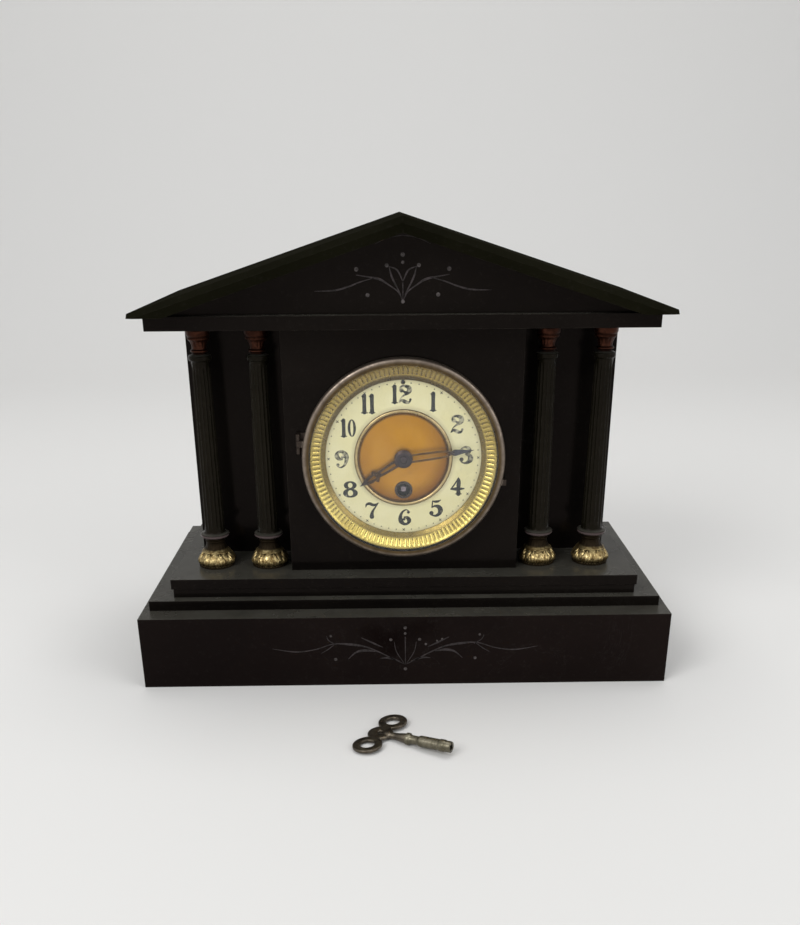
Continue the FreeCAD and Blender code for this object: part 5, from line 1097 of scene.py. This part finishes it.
def winding_key():
    parts = [moved(bow_ring(6.9, 2.45), 0.0, 15.7 * side) for side in (-1, 1)]
    parts.append(bow_ring(4.9, 3.2))
    neck = smooth_line([(2.0, 3.9), (2.5, 6.5), (2.2, 9.0), (2.3, 12.5), (2.8, 15.5)], 5)
    neck = [(0.0, 3.9)] + neck + [(3.2, 18.9), (0.0, 18.9)]
    parts.append(turned_along_x(lathe(neck, 48)))
    piece = make("winding_key_bow", *merged(parts), KEY_DARK, "key", KEY, 60.0)
    remesh = piece.modifiers.new("cast", "REMESH")
    remesh.mode = "VOXEL"
    remesh.voxel_size = 0.00028
    remesh.use_smooth_shade = True
    soften = piece.modifiers.new("soften", "SMOOTH")
    soften.factor = 0.6
    soften.iterations = 8

    outside = [(0.0, 18.9), (3.1, 18.9), (3.75, 19.2), (3.85, 20.2), (3.75, 21.2), (3.1, 21.7)]
    outside += smooth_line([(2.9, 22.2), (2.75, 24.5), (2.8, 27.0), (3.3, 28.2), (3.55, 29.0)], 4)
    outside += dense_line([(3.55, 29.4), (3.55, 41.6)], 3.0)
    outside += smooth_line([(3.6, 42.0), (3.85, 42.8), (3.85, 45.2), (3.6, 46.0)], 4)
    outside += [(3.5, 46.4), (3.5, 49.3), (3.35, 49.7), (2.55, 49.75)]
    parts = [turned_along_x(lathe(outside, 64))]
    square = [(SQUARE_HALF * a, SQUARE_HALF * b) for a, b in ((1, 1), (-1, 1), (-1, -1), (1, -1))]
    ring = oval(0.0, 0.0, KEY_BORE, KEY_BORE, 64)
    parts.append(turned_along_x(solid_plate(ring, [square], 36.0, 49.75)))
    parts.append(turned_along_x(solid_plate(ring, [], 35.6, 36.0)))
    barrel = make("winding_key_barrel", *merged(parts), KEY_PALE, "key", KEY, 30.0)
    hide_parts("winding_key")


# Stage, light and camera
def make_stage():
    """A pale floor that rises behind the clock in a wide curve."""
    bend, radius, half = 1.1, 0.9, 5.0
    section = [(-3.0, 0.0), (bend, 0.0)]
    for step in range(1, 17):
        angle = math.pi / 2 * step / 16
        section.append((bend + radius * math.sin(angle), radius - radius * math.cos(angle)))
    section.append((bend + radius, 4.0))
    verts = []
    for y, z in section:
        verts += [(-half, y, z), (half, y, z)]
    faces = [(2 * n, 2 * n + 1, 2 * n + 3, 2 * n + 2) for n in range(len(section) - 1)]
    mesh = bpy.data.meshes.new("floor")
    mesh.from_pydata(verts, [], faces)
    mesh.shade_smooth()
    paint = bpy.data.materials.new("pale_floor")
    paint.use_nodes = True
    shader = paint.node_tree.nodes["Principled BSDF"]
    shader.inputs["Base Color"].default_value = (0.80, 0.79, 0.77, 1.0)
    shader.inputs["Roughness"].default_value = 0.75
    shader.inputs["Specular IOR Level"].default_value = 0.2
    mesh.materials.append(paint)
    floor = bpy.data.objects.new("floor", mesh)
    bpy.context.scene.collection.objects.link(floor)


def area_light(name, place, target, wide, tall, power):
    lamp = bpy.data.lights.new(name, "AREA")
    lamp.shape = "RECTANGLE"
    lamp.size = wide
    lamp.size_y = tall
    lamp.energy = power
    piece = bpy.data.objects.new(name, lamp)
    piece.location = place
    piece.rotation_mode = "QUATERNION"
    piece.rotation_quaternion = (Vector(target) - Vector(place)).to_track_quat("-Z", "Y")
    bpy.context.scene.collection.objects.link(piece)


def make_light():
    area_light("key_light", (-1.3, -1.5, 1.7), (0, 0, 0.15), 1.2, 1.2, 26.0)
    area_light("fill_light", (1.7, -1.2, 1.1), (0, 0, 0.12), 1.4, 1.2, 11.0)
    area_light("top_light", (0.1, 0.3, 2.1), (0, 0, 0.1), 1.6, 1.0, 14.0)
    world = bpy.data.worlds.new("studio")
    bpy.context.scene.world = world
    world.use_nodes = True
    nodes = world.node_tree.nodes
    links = world.node_tree.links
    back = nodes["Background"]
    back.inputs["Color"].default_value = (0.9, 0.92, 0.95, 1.0)
    back.inputs["Strength"].default_value = 0.45
    seen = nodes.new("ShaderNodeBackground")
    seen.inputs["Color"].default_value = (0.93, 0.93, 0.92, 1.0)
    seen.inputs["Strength"].default_value = 1.0
    path = nodes.new("ShaderNodeLightPath")
    mix = nodes.new("ShaderNodeMixShader")
    shown = path.outputs["Is Camera Ray"]
    for kind in ("Is Glossy Ray", "Is Transmission Ray"):
        either = nodes.new("ShaderNodeMath")
        either.operation = "MAXIMUM"
        links.new(shown, either.inputs[0])
        links.new(path.outputs[kind], either.inputs[1])
        shown = either.outputs[0]
    links.new(shown, mix.inputs[0])
    links.new(back.outputs[0], mix.inputs[1])
    links.new(seen.outputs[0], mix.inputs[2])
    links.new(mix.outputs[0], nodes["World Output"].inputs["Surface"])


def make_camera():
    """The photograph's place, tilt and angle of view."""
    place = (-0.010125, -0.656438, 0.311181)
    pitch, yaw, roll = 0.39972, -0.01144, -0.00687
    focal_px, tall_px, middle_row = 952.933, 925.0, 600.0
    ahead = Vector((-math.sin(yaw), math.cos(yaw), 0.0))
    across = Vector((math.cos(yaw), math.sin(yaw), 0.0))
    upright = Vector((0.0, 0.0, 1.0))
    forward = math.cos(pitch) * ahead - math.sin(pitch) * upright
    raised = math.sin(pitch) * ahead + math.cos(pitch) * upright
    right = math.cos(roll) * across + math.sin(roll) * raised
    up = math.cos(roll) * raised - math.sin(roll) * across
    camera = bpy.data.cameras.new("camera")
    camera.sensor_width = 36.0
    camera.lens = focal_px / tall_px * camera.sensor_width
    camera.shift_y = (middle_row - tall_px / 2) / tall_px
    camera.clip_start = 0.05
    camera.clip_end = 50.0
    piece = bpy.data.objects.new("camera", camera)
    turn = Matrix((right, up, -forward)).transposed().to_4x4()
    piece.matrix_world = Matrix.Translation(place) @ turn
    bpy.context.scene.collection.objects.link(piece)
    bpy.context.scene.camera = piece


bpy.context.scene.view_settings.view_transform = "Standard"
make_camera()
make_light()
make_stage()
column_shafts()
column_bases()
column_capitals()
sight_ring()
numerals()
minute_hand()
hour_hand()
plinth_ornament()
gable_ornament()
winding_key()
